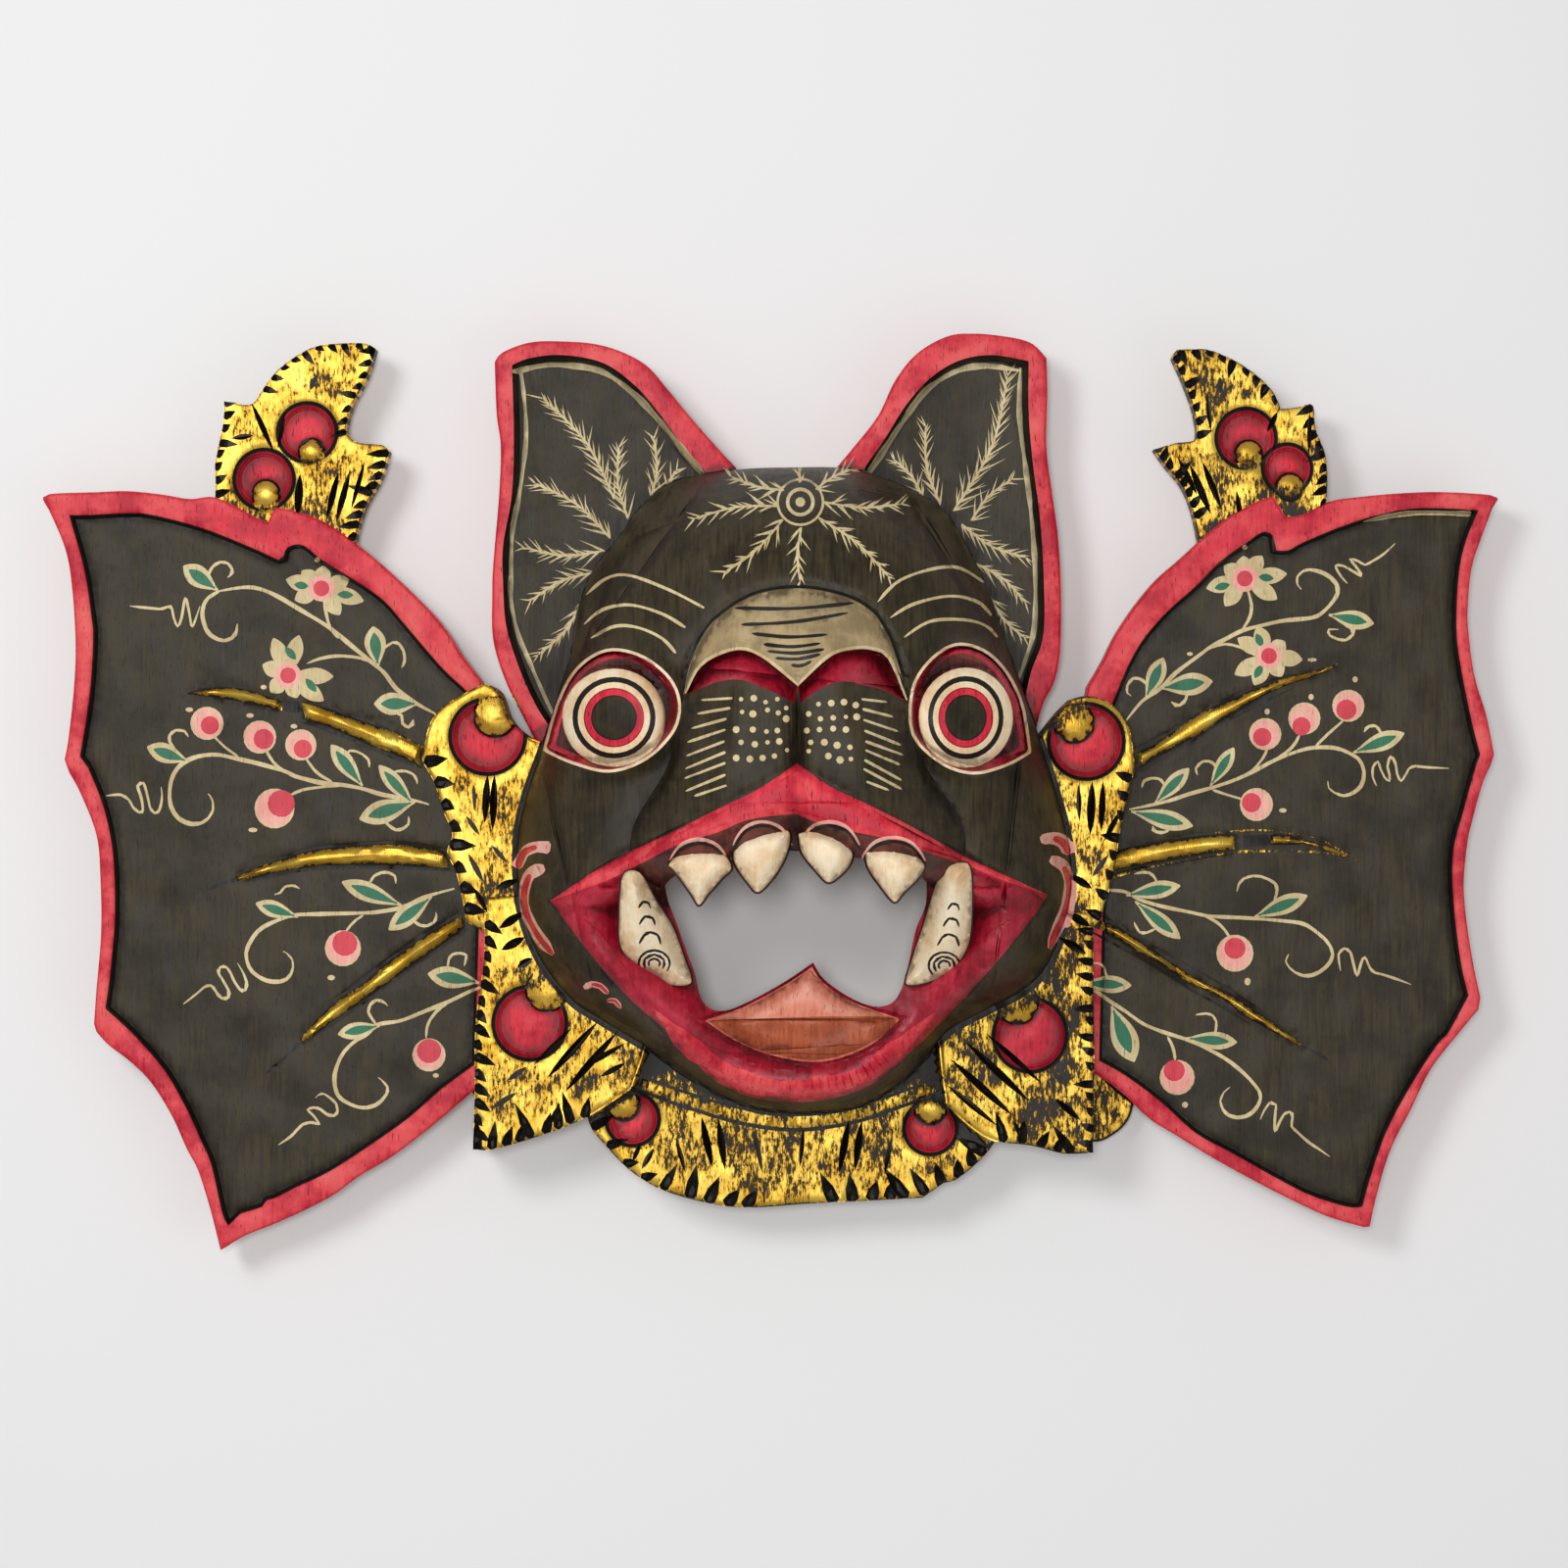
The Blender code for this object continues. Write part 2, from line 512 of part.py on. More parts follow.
def ball(name, centre, height, radius, squash, lean, collection):
    """Flattened ball that leans to one side with the surface it lies in."""
    bm = bmesh.new()
    bmesh.ops.create_uvsphere(bm, u_segments=16, v_segments=8, radius=radius)
    x, y, z = place(centre, height)
    for vertex in bm.verts:
        vertex.co.z = vertex.co.z * squash + vertex.co.x * lean
        vertex.co.x += x
        vertex.co.y += y
        vertex.co.z += z
    return new_object(name, bm, collection)


def spindle(name, start, end, wide, deep, segments, rings, collection):
    """Ball stretched from start to end, with its half width and half depth given along it."""
    bm = bmesh.new()
    bmesh.ops.create_uvsphere(bm, u_segments=segments, v_segments=rings, radius=1.0)
    start, end = np.array(start), np.array(end)
    along = (end - start) / np.linalg.norm(end - start)
    across = np.cross(along, (0.0, 0.0, 1.0))
    across /= np.linalg.norm(across)
    up = np.cross(across, along)
    for vertex in bm.verts:
        share = (1.0 - vertex.co.z) / 2
        spread = max(math.sqrt(max(0.0, 1.0 - vertex.co.z ** 2)), 1e-9)
        x, y = vertex.co.x / spread, vertex.co.y / spread
        pole = 0.0 if spread < 1e-6 else 1.0
        middle = start + (end - start) * share
        half_wide = np.interp(share, np.linspace(0, 1, len(wide)), wide) * pole
        half_deep = np.interp(share, np.linspace(0, 1, len(deep)), deep) * pole
        vertex.co = middle + across * x * half_wide + up * y * half_deep
    return new_object(name, bm, collection)


def taper(name, points, radii, sides, collection, squash=1.0):
    """Round bar along points with its own radius at each; a bevelled curve."""
    curve = bpy.data.curves.new(name, "CURVE")
    curve.dimensions = "3D"
    curve.bevel_depth = 1.0
    curve.bevel_resolution = sides
    curve.use_fill_caps = True
    line = curve.splines.new("POLY")
    line.points.add(len(points) - 1)
    for point, place_at, radius in zip(line.points, points, radii):
        point.co = (place_at[0], place_at[1], place_at[2] / squash, 1.0)
        point.radius = radius
    holder = bpy.data.objects.new(name + "_curve", curve)
    holder.scale.z = squash
    collection.objects.link(holder)
    return curve_to_mesh(name, holder, collection)


def comma(name, centre, radius, knob, knob_radius, back, front, collection):
    """Crescent cut: a round hollow that leaves a knob standing at its upper side."""
    bm = bmesh.new()
    bmesh.ops.create_cone(bm, cap_ends=True, segments=14, radius1=radius * UNIT * 0.86,
                          radius2=radius * UNIT * 1.06, depth=front - back)
    x, y = place(centre)
    bmesh.ops.translate(bm, verts=bm.verts, vec=(x, y, (front + back) / 2))
    cutter = new_object(name, bm, collection)
    bm = bmesh.new()
    bmesh.ops.create_cone(bm, cap_ends=True, segments=9, radius1=knob_radius * UNIT,
                          radius2=knob_radius * UNIT * 0.8, depth=(front - back) * 3)
    x, y = place(knob)
    bmesh.ops.translate(bm, verts=bm.verts, vec=(x, y, (front + back) / 2))
    stud = new_object(name + "_knob", bm, collection)
    boolean(cutter, "leave_knob", "DIFFERENCE", stud)
    return cutter


def groove(name, start, end, width, surface, collection):
    """V-shaped cut with pointed ends, as one stroke of a parting tool leaves it."""
    bm = bmesh.new()
    a = np.array(place(start))
    b = np.array(place(end))
    along = (b - a) / np.linalg.norm(b - a)
    across = np.array([-along[1], along[0]]) * width * UNIT / 2
    middle = (a + b) / 2
    over = 0.002
    wide = across * (1 + over / GROOVE_DEPTH)
    tops = [(a - along * 0.001, surface + over), (middle - wide, surface + over),
            (b + along * 0.001, surface + over), (middle + wide, surface + over)]
    top = [bm.verts.new((p[0], p[1], z)) for p, z in tops]
    low = bm.verts.new((middle[0], middle[1], surface - GROOVE_DEPTH))
    bm.faces.new(top)
    for i in range(4):
        bm.faces.new((top[(i + 1) % 4], top[i], low))
    bmesh.ops.recalc_face_normals(bm, faces=bm.faces)
    return new_object(name, bm, collection)


def boolean(target, name, operation, tool=None, tools=None):
    """Note a Boolean with one object or a collection; cut_and_join() adds them all at the end."""
    PLANNED.append((target, name, operation, tool, tools))


def cut_and_join():
    for target, name, operation, tool, tools in PLANNED:
        modifier = target.modifiers.new(name, "BOOLEAN")
        modifier.operation = operation
        modifier.solver = "EXACT"
        if tools is None:
            modifier.operand_type = "OBJECT"
            modifier.object = tool
        else:
            modifier.operand_type = "COLLECTION"
            modifier.collection = tools


def tool_collection(name, parent):
    collection = bpy.data.collections.new(name)
    parent.children.link(collection)
    return collection


def feathered(arcs, cut_arcs, steps=2):
    """Outline of a gold ornament whose named arcs carry the notched feather edge."""
    points = []
    for number, arc in enumerate(arcs):
        if number in cut_arcs:
            points += notched(arc)[:-1]
        else:
            points += spline(arc, steps)
    return points


def ear(name, arcs, field_arcs, tools, inner):
    board = plate(name, metres(outline(arcs)), EAR_BACK, EAR_BACK + EAR_THICKNESS, tools)
    floor = EAR_BACK + EAR_THICKNESS - EAR_FIELD_DEPTH
    field = plate(name + "_field", metres(outline(field_arcs)), floor, floor + 0.05, inner)
    boolean(board, "black_field", "DIFFERENCE", field)
    return board


def build_wing(side, arcs, field_arcs, crest_arcs, crest_cut, parts, cutters):
    name = "wing_" + side
    wing = plate(name, metres(outline(arcs)), BOARD_BACK, BOARD_FRONT, parts)
    recess = plate(name + "_field", metres(outline(field_arcs)), FIELD_HEIGHT, FIELD_HEIGHT + 0.05,
                   cutters)
    boolean(wing, "black_field", "DIFFERENCE", recess)

    crest = plate(name + "_crest", metres(feathered(crest_arcs, crest_cut)),
                  BOARD_BACK + CREST_BACK_STEP, CREST_FRONT, cutters)
    crest_cuts = tool_collection(name + "_crest_cuts", cutters)
    for i, (centre, radius, knob, knob_radius) in enumerate(CREST_COMMAS[side]):
        comma(f"{name}_comma_{i}", centre, radius, knob, knob_radius, CREST_FRONT - SCROLL_DEPTH,
              CREST_FRONT + 0.003, crest_cuts)
    for stud in [o for o in crest_cuts.objects if o.name.endswith("_knob")]:
        crest_cuts.objects.unlink(stud)
        cutters.objects.link(stud)
    for i, (start, end, width) in enumerate(WING_GROOVES[side]):
        groove(f"{name}_groove_{i}", start, end, width, CREST_FRONT, crest_cuts)
    boolean(crest, "carved", "DIFFERENCE", tools=crest_cuts)
    boolean(wing, "crest", "UNION", crest)

    ribs = tool_collection(name + "_ribs", cutters)
    for i, (points, share) in enumerate(RIBS[side]):
        run = spline(points, 2) + [points[-1]]
        line = [(*place(p), FIELD_HEIGHT) for p in run]
        count = len(run) - 1
        radii = [share * RIB_WIDTH / 2 * max(0.12, min(1.0, 1.9 * (1 - k / count)))
                 for k in range(count + 1)]
        taper(f"{name}_rib_{i}", line, radii, 1, ribs, squash=2 * RIB_RISE / RIB_WIDTH)
    boolean(wing, "ribs", "UNION", tools=ribs)
    return wing


def build_head(parts, cutters):
    head = carved_dome("mask_head", FACE_SHAPE, face_height, 0.0, 52, 19, 0.0, parts)
    added = tool_collection("head_added", cutters)
    taken = tool_collection("head_taken", cutters)
    carved = tool_collection("head_carved", cutters)
    late = tool_collection("head_late", cutters)

    ear("ear_left", EAR_LEFT, EAR_LEFT_FIELD, added, cutters)
    ear("ear_right", EAR_RIGHT, EAR_RIGHT_FIELD, added, cutters)
    plate("scroll_plate_left", metres(feathered(SCROLL_PLATE_LEFT, {0})), ORNAMENT_FOOT,
          ORNAMENT_FRONT, added)
    plate("scroll_plate_right", metres(feathered(SCROLL_PLATE_RIGHT, {})), ORNAMENT_FOOT,
          ORNAMENT_FRONT, added)
    plate("leaf_left", metres(feathered(LEAF_LEFT, {0, 1})), LEAF_FOOT, LEAF_FRONT, added)
    plate("leaf_right", metres(feathered(LEAF_RIGHT, {1})), LEAF_FOOT, LEAF_FRONT, added)
    plate("collar", metres(feathered(COLLAR, {0, 1})), COLLAR_BACK, COLLAR_FRONT, added)
    boolean(head, "ears_and_ornaments", "UNION", tools=added)

    carved_dome("hollow", FACE_SHAPE, hollow_height, -0.02, 32, 9, WALL, taken)
    for side, arcs in (("left", WING_LEFT), ("right", WING_RIGHT)):
        shape = grown(metres(outline(arcs)), FIT_GAP)
        plate("slot_" + side, shape, -0.02, ORNAMENT_BACK, taken)
    plate("mouth_hole", HOLE_SHAPE, -0.02, 0.2, taken)
    boolean(head, "hollow_slots_and_mouth", "DIFFERENCE", tools=taken)

    surfaces = {"scroll": ORNAMENT_FRONT, "leaf": LEAF_FRONT, "collar": COLLAR_FRONT}
    for name, (centre, radius, knob, knob_radius) in COMMAS.items():
        surface = surfaces[name.split("_")[0]]
        comma(name + "_comma", centre, radius, knob, knob_radius, surface - SCROLL_DEPTH,
              surface + 0.004, carved)
    for stud in [o for o in carved.objects if o.name.endswith("_knob")]:
        carved.objects.unlink(stud)
        cutters.objects.link(stud)
    for i, (start, end, width) in enumerate(FACE_GROOVES):
        surface = surfaces["scroll"] if i < 4 else surfaces["leaf"] if i < 8 else surfaces["collar"]
        groove(f"ornament_groove_{i}", start, end, width, surface, carved)
    for i, arcs in enumerate((NOSTRIL_LEFT, NOSTRIL_RIGHT)):
        shape = metres(outline(arcs)) * (1.0 - (NOSTRIL_FLOOR - BOARD_FRONT) / VIEW_DISTANCE)
        plate(f"nostril_{i}", shape, NOSTRIL_FLOOR, 0.2, carved)
    boolean(head, "carving", "DIFFERENCE", tools=carved)

    for side, centre in EYE_CENTRES.items():
        top = float(face_height(np.array([place(centre)]))[0]) + EYE_RISE
        lean = EYE_LEAN if side == "left" else -EYE_LEAN
        ball("eye_" + side, centre, top - EYE_RADIUS * EYE_SQUASH, EYE_RADIUS, EYE_SQUASH, lean,
             late)
    for i, (root, tip, half_width) in enumerate(TEETH):
        lip = float(face_height(np.array([place((root[0], root[1] - 8))]))[0])
        front = lip - TOOTH_SETBACK
        wide = np.array(TOOTH_PROFILE) * half_width * UNIT
        deep = np.array(TOOTH_PROFILE) * TOOTH_DEPTH / 2
        spindle(f"tooth_{i}", place((root[0], root[1] - 26), front), place(tip, front + 0.001),
                wide, deep, 8, 8, late)
    for i, (point, middle, root) in enumerate(TUSKS):
        heights = face_height(np.array([place(point), place(root)])) + TUSK_RADIUS * 0.25
        radii = np.array(TUSK_PROFILE) * TUSK_RADIUS
        spindle(f"tusk_{i}", place(point, float(heights[0])), place(root, float(heights[1])),
                radii, radii, 10, 8, late)
    for side, points in LUGS.items():
        plate("lug_" + side, metres(points), LUG_FOOT, BOARD_BACK - FIT_GAP, late)
    boolean(head, "eyes_teeth_and_root_blocks", "UNION", tools=late)
    return head


def paint(obj):
    material = bpy.data.materials.new(obj.name + "_paint")
    material.use_nodes = True
    shader = material.node_tree.nodes["Principled BSDF"]
    shader.inputs["Base Color"].default_value = COLOURS[obj.name]
    shader.inputs["Roughness"].default_value = 0.55
    shader.inputs["Metallic"].default_value = 0.0
    obj.data.materials.clear()
    obj.data.materials.append(material)
    obj.data.shade_smooth()
    obj.data.set_sharp_from_angle(angle=math.radians(35))


def main():
    for obj in list(bpy.data.objects):
        bpy.data.objects.remove(obj)
    scene = bpy.context.scene.collection
    parts = tool_collection("bat_mask", scene)
    cutters = tool_collection("bat_mask_cutters", scene)

    build_wing("left", WING_LEFT, WING_LEFT_FIELD, CREST_LEFT, {0, 1, 2}, parts, cutters)
    build_wing("right", WING_RIGHT, WING_RIGHT_FIELD, CREST_RIGHT, {1, 2}, parts, cutters)
    build_head(parts, cutters)
    cut_and_join()
    for obj in cutters.all_objects:
        obj.hide_render = True
        obj.display_type = "WIRE"
    for obj in parts.objects:
        paint(obj)


main()
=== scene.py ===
"""Bat mask: the carved surface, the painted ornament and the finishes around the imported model.

Drawing units are shares of the wing span, x to the right and y downwards, as in the carver's
front view. Each wing is one closed shell, as it is one board. The head is one mesh of closed
shells, which are the block, the teeth, the tusks and the root blocks. What is only paint lies flat
in a shell: its outline is cut into the surface's triangles, which keeps a brush stroke sharp
without raising it.
"""

import math

import bpy
import numpy as np
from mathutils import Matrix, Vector
from mathutils.geometry import convex_hull_2d, delaunay_2d_cdt
from mathutils.kdtree import KDTree


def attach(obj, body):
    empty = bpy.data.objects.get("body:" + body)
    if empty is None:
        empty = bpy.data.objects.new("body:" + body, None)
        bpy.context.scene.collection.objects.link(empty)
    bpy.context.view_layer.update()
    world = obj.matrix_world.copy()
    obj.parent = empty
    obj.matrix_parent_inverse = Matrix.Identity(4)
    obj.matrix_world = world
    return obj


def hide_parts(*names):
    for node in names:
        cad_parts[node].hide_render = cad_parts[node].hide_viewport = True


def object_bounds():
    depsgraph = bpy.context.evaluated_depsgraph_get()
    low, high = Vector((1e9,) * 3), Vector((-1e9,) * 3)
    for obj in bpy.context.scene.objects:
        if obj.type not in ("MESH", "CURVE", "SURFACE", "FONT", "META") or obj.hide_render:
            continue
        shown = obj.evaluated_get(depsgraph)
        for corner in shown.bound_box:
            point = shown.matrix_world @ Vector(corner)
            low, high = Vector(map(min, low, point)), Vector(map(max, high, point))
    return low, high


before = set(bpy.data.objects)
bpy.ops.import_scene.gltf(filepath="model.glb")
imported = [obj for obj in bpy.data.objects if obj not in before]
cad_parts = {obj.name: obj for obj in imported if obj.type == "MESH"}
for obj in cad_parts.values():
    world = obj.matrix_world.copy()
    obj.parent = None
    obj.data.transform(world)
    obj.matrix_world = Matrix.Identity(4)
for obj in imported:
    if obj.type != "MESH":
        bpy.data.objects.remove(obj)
solid_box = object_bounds()

# Sizes in metres, the same as the solids have
WING_SPAN = 0.505
BOARD_BACK = 0.012
BOARD_FRONT = 0.024
FIELD_DEPTH = 0.0032
CREST_FRONT = 0.023
RIB_RISE = 0.0030
FIT_GAP = 0.0003
ORNAMENT_FOOT = 0.0085
ORNAMENT_BACK = BOARD_FRONT + FIT_GAP
ORNAMENT_FRONT = ORNAMENT_BACK + 0.0125
LEAF_FRONT = ORNAMENT_FRONT + 0.0015
COLLAR_FRONT = 0.029
EAR_BACK = 0.008
EAR_FRONT = 0.0235
EAR_FIELD_DEPTH = 0.0045
EDGE_HEIGHT = 0.026
FACE_ROUND = 0.062
SNOUT_RISE = 0.0235
NOSTRIL_DEPTH = 0.0095
MOUTH_DEPTH = 0.018
WALL = 0.011
EYE_RADIUS = 0.0178
EYE_SQUASH = 0.48
EYE_RISE = 0.0062
EYE_LEAN = 0.42
TOOTH_SETBACK = 0.0095
TOOTH_DEPTH = 0.006
TUSK_RADIUS = 0.0084
SCROLL_DEPTH = 0.0024
GROOVE_DEPTH = 0.0024
NOTCH_DEPTH = 0.0020
EDGE_ROUND = 0.0011
LUG_BACK = 0.0030
LUG_FRONT = BOARD_BACK - FIT_GAP
SOFT_TOP = 0.1125
SOFT_MARGIN = 0.003
SHARP_ANGLE = 38
FRAME_SIDE = 1600
VIEW_DISTANCE = 1.6

DRAWN_SPAN = 1485.5
DRAWN_CENTRE = np.array([786.25, 808.0])
UNIT = WING_SPAN / DRAWN_SPAN
SEED = 7
SIDES = ("left", "right")

# Paints, in the order of the material slots
(RED, BLACK, GOLD, CREAM, CRIMSON, IVORY, TAN, GREEN, PINK, BERRY, TONGUE, INK, WOOD, GUM,
 TONGUE_LOW) = range(15)

WING_EDGE = {
    "left": [
        [(43.5, 510), (50, 504), (100, 502), (130, 501), (165, 504.5), (193, 509), (217, 507),
         (240, 516.5), (261, 528), (273, 533)],
        [(280, 517.5), (299, 521), (330, 532), (362, 554), (399, 585), (440, 625), (459, 649),
         (472, 670), (491.5, 695.5)],
        [(491.5, 695.5), (511, 760), (513, 850), (512, 960), (500, 1098)],
        [(500, 1098), (459, 1134), (428.5, 1159), (398, 1181.6), (367, 1200), (341, 1219),
         (311, 1235), (280, 1249), (250, 1261), (230, 1273)],
        [(224.7, 1276), (215, 1237), (202, 1195), (190, 1172), (175, 1138.6), (153.6, 1104.6),
         (132, 1083), (111, 1067), (98, 1053)],
        [(95.5, 1045), (98, 1010), (102.7, 952), (102, 895), (98, 852), (82, 810), (70.5, 789)],
        [(65.5, 775), (69.5, 753), (75, 701), (76.7, 655), (73, 599), (66.5, 561), (50, 521)],
    ],
    "right": [
        [(1529, 509.5), (1521, 505), (1473, 502), (1433, 503), (1387, 507), (1356, 512),
         (1330, 525), (1312, 527.7)],
        [(1300, 506), (1278, 514), (1245, 534), (1206, 569), (1180, 592), (1157, 620), (1138, 649),
         (1125, 675), (1110, 701)],
        [(1110, 701), (1101, 760), (1100, 850), (1101, 960), (1108, 1090)],
        [(1108, 1090), (1143, 1113), (1172, 1141), (1200, 1158.5), (1240, 1183), (1278, 1204),
         (1317, 1224), (1355, 1241.5), (1392, 1252.5)],
        [(1398, 1252), (1405, 1220), (1419, 1174), (1440, 1132), (1461, 1090), (1490, 1053),
         (1509, 1030)],
        [(1511, 1018), (1503, 980), (1496, 933), (1494, 900), (1497.5, 862), (1502, 840),
         (1513, 800), (1521, 782)],
        [(1525, 770), (1517, 730), (1505, 690), (1499, 647), (1498, 622), (1502, 580), (1512.5, 547),
         (1523, 519)],
    ],
}
WING_FIELD = {
    "left": [
        [(71, 526), (90, 526), (130, 524), (155, 526), (205, 539), (251, 557), (284, 572)],
        [(289.6, 570), (293.5, 559), (309, 557), (330, 573), (372, 599), (393.5, 615.6), (413, 638),
         (449, 680), (472, 702), (486, 716)],
        [(486, 716), (490, 850), (484, 1086)],
        [(484, 1086), (450, 1111), (424, 1134), (398, 1154), (340, 1192.5), (302, 1211), (280, 1222),
         (270, 1225), (267, 1231), (245, 1238)],
        [(233, 1250), (227, 1237), (216, 1189), (206, 1165), (189, 1128), (168, 1092), (137, 1056),
         (108, 1029)],
        [(108, 1029), (113, 991), (117.5, 933), (115.6, 871.5), (106, 823.5), (90, 783)],
        [(82, 772), (91.5, 711), (95.4, 653), (93.5, 628), (86, 580), (71, 526)],
    ],
    "right": [
        [(1508, 521), (1450, 519), (1410, 525), (1370, 537.5), (1330, 554), (1315, 562), (1300, 562)],
        [(1299, 547), (1291, 543), (1278, 550), (1245, 574), (1219, 600), (1193, 623), (1170, 649),
         (1154, 675), (1135, 719)],
        [(1135, 719), (1128, 850), (1122, 1082)],
        [(1122, 1082), (1150, 1098), (1186, 1125), (1221, 1156), (1259, 1177), (1298, 1199),
         (1336, 1218.5), (1375, 1231), (1390, 1231)],
        [(1390, 1231), (1398, 1201), (1415, 1153), (1442, 1103), (1467, 1065), (1478, 1053),
         (1498, 1016)],
        [(1498, 1016), (1490, 980), (1483, 920), (1482.5, 870), (1493, 827), (1504, 787)],
        [(1510, 770), (1500, 730), (1487.5, 663), (1486, 622), (1489, 580), (1496, 550), (1508, 521)],
    ],
}
CREST_EDGE = {
    "left": [
        [(219, 540), (219, 485), (219, 471), (227, 431), (228, 409)],
        [(228, 409), (238, 410), (249, 413), (259, 410), (268, 396), (282, 378), (301.5, 363),
         (323, 352.6), (348, 350), (372, 350), (383, 355.4)],
        [(383, 355.4), (373.5, 384), (358, 415), (353, 440), (364, 451), (390, 454), (397, 460)],
        [(397, 460), (388, 488), (372, 517.5), (363, 547), (363, 560)],
        [(363, 560), (300, 560), (219, 540)],
    ],
    "right": [
        [(1225, 562), (1219, 527.5), (1208, 498), (1190, 475), (1178, 458)],
        [(1178, 458), (1199.5, 452), (1221, 447), (1219, 420), (1209, 391), (1197, 364)],
        [(1197, 364), (1201, 357), (1216, 356), (1236, 357), (1264, 369.5), (1287, 386),
         (1302, 403), (1307, 417)],
        [(1311, 417), (1326, 415), (1340, 413), (1343, 437), (1353, 464), (1355, 496), (1352, 530)],
        [(1352, 530), (1290, 550), (1225, 562)],
    ],
}
CREST_COMMAS = {
    "left": [((313, 441), 28, (317, 460), 12), ((269, 489), 28.5, (270.5, 503.5), 13)],
    "right": [((1272, 447), 28.5, (1275, 463), 13), ((1314, 478), 23, (1317, 497), 13)],
}
CREST_GROOVES = {
    "left": [((345, 481), (333, 531), 7), ((357, 479.5), (342.5, 534), 7), ((256, 410), (279, 461), 6),
             ((306, 483), (303, 528), 9), ((322, 383), (316, 398), 6), ((236, 447), (258, 444), 6),
             ((290, 420), (283, 458), 5), ((372, 470), (358, 520), 5)],
    "right": [((1214, 473), (1236, 525), 8), ((1227, 470), (1247, 520), 7), ((1202, 466), (1222, 505), 6),
              ((1304, 420), (1294, 440), 6), ((1245, 384), (1246, 400), 6), ((1232, 400), (1236, 440), 5),
              ((1337, 420), (1336, 462), 5), ((1262, 500), (1268, 540), 6)],
}
# Ribs: upper edge and lower edge of the gold, from the root out to the point.
RIB_SHAPES = {
    "left": [
        ([(431, 761), (406, 749), (380, 739.5), (356, 732), (328, 722), (307, 717)],
         [(428, 781), (406, 770), (385, 763), (359, 751), (338, 742), (310, 733)]),
        ([(286, 716), (262, 707), (240, 702), (214, 701.5), (189, 707)],
         [(287, 725), (262, 719), (240, 715), (214, 711), (189, 708)]),
        ([(455, 870), (417, 863), (385, 862), (346, 865), (315, 869), (292, 876), (267, 883), (240, 895)],
         [(457, 886), (421, 883), (385, 882), (346, 883), (315, 884), (290, 889), (268, 893), (241, 899)]),
        ([(469, 935), (452, 944), (431, 957), (408, 974), (392, 985), (369, 1005), (346, 1020),
          (325, 1038), (306, 1060)],
         [(474, 945), (452, 962), (423, 981), (400, 999), (374, 1017), (345, 1038), (323, 1053),
          (308, 1064)]),
    ],
    "right": [
        ([(1160, 768), (1176, 761), (1196, 748), (1225, 728), (1253, 716), (1282, 703), (1312, 692),
          (1350, 682), (1366, 676)],
         [(1160, 787), (1173, 776), (1198, 763), (1225, 749), (1253, 731), (1282, 714), (1312, 700),
          (1350, 687), (1366, 679)]),
        ([(1131, 873), (1148, 866), (1181, 860), (1208, 856), (1235, 853), (1261, 852)],
         [(1127, 889), (1150, 886), (1177, 880), (1205, 875), (1235, 870), (1262, 867)]),
        ([(1297, 852), (1315, 853), (1331, 857), (1350, 862), (1375, 872)],
         [(1297, 862), (1315, 862), (1331, 862), (1350, 866), (1375, 874)]),
        ([(1109, 934), (1130, 942), (1152, 953), (1177, 970), (1200, 985), (1225, 1001), (1254, 1014),
          (1273, 1026), (1292, 1039), (1330, 1066)],
         [(1116, 946), (1135, 955), (1161, 971), (1186, 986), (1215, 1004), (1244, 1017),
          (1273, 1038), (1292, 1049), (1330, 1070)]),
    ],
}
# Dark cuts that carry a rib on or lie beside it: points and width.
RIB_CUTS = {
    "left": [([(310, 722), (298, 721), (284, 719)], 13), ([(245, 897), (231, 900), (211, 908)], 4),
             ([(306, 1064), (286, 1083), (270, 1096)], 3.5),
             ([(440, 771), (400, 746), (350, 727), (310, 714)], 2.6),
             ([(430, 784), (385, 766), (338, 746), (305, 736)], 3.6),
             ([(466, 889), (421, 886), (385, 885), (315, 887), (250, 900)], 3.4),
             ([(460, 867), (420, 860), (385, 859), (315, 866), (240, 891)], 2.6),
             ([(466, 931), (430, 953), (391, 981), (345, 1016)], 3.4),
             ([(478, 948), (423, 986), (374, 1021), (320, 1058)], 3.2)],
    "right": [([(1262, 860), (1280, 858), (1298, 857)], 11),
              ([(1330, 1068), (1346, 1076), (1356, 1082)], 4),
              ([(1156, 792), (1198, 767), (1253, 735), (1320, 702)], 3.2),
              ([(1156, 764), (1196, 744), (1253, 712), (1320, 687)], 2.6),
              ([(1125, 892), (1177, 884), (1235, 874), (1262, 871)], 2.8),
              ([(1110, 949), (1161, 976), (1215, 1009), (1275, 1044)], 3.2),
              ([(1120, 932), (1180, 967), (1256, 1010), (1320, 1056)], 2.6)],
}
RIB_LINES = {
    "left": [],
    "right": [([(1125, 899), (1158, 889), (1196, 880), (1235, 873.5), (1273, 869), (1340, 869),
                (1375, 874)], 2.4),
              ([(1192, 854), (1254, 849), (1283, 847), (1311, 850), (1350, 858), (1387, 879)], 1.8)],
}

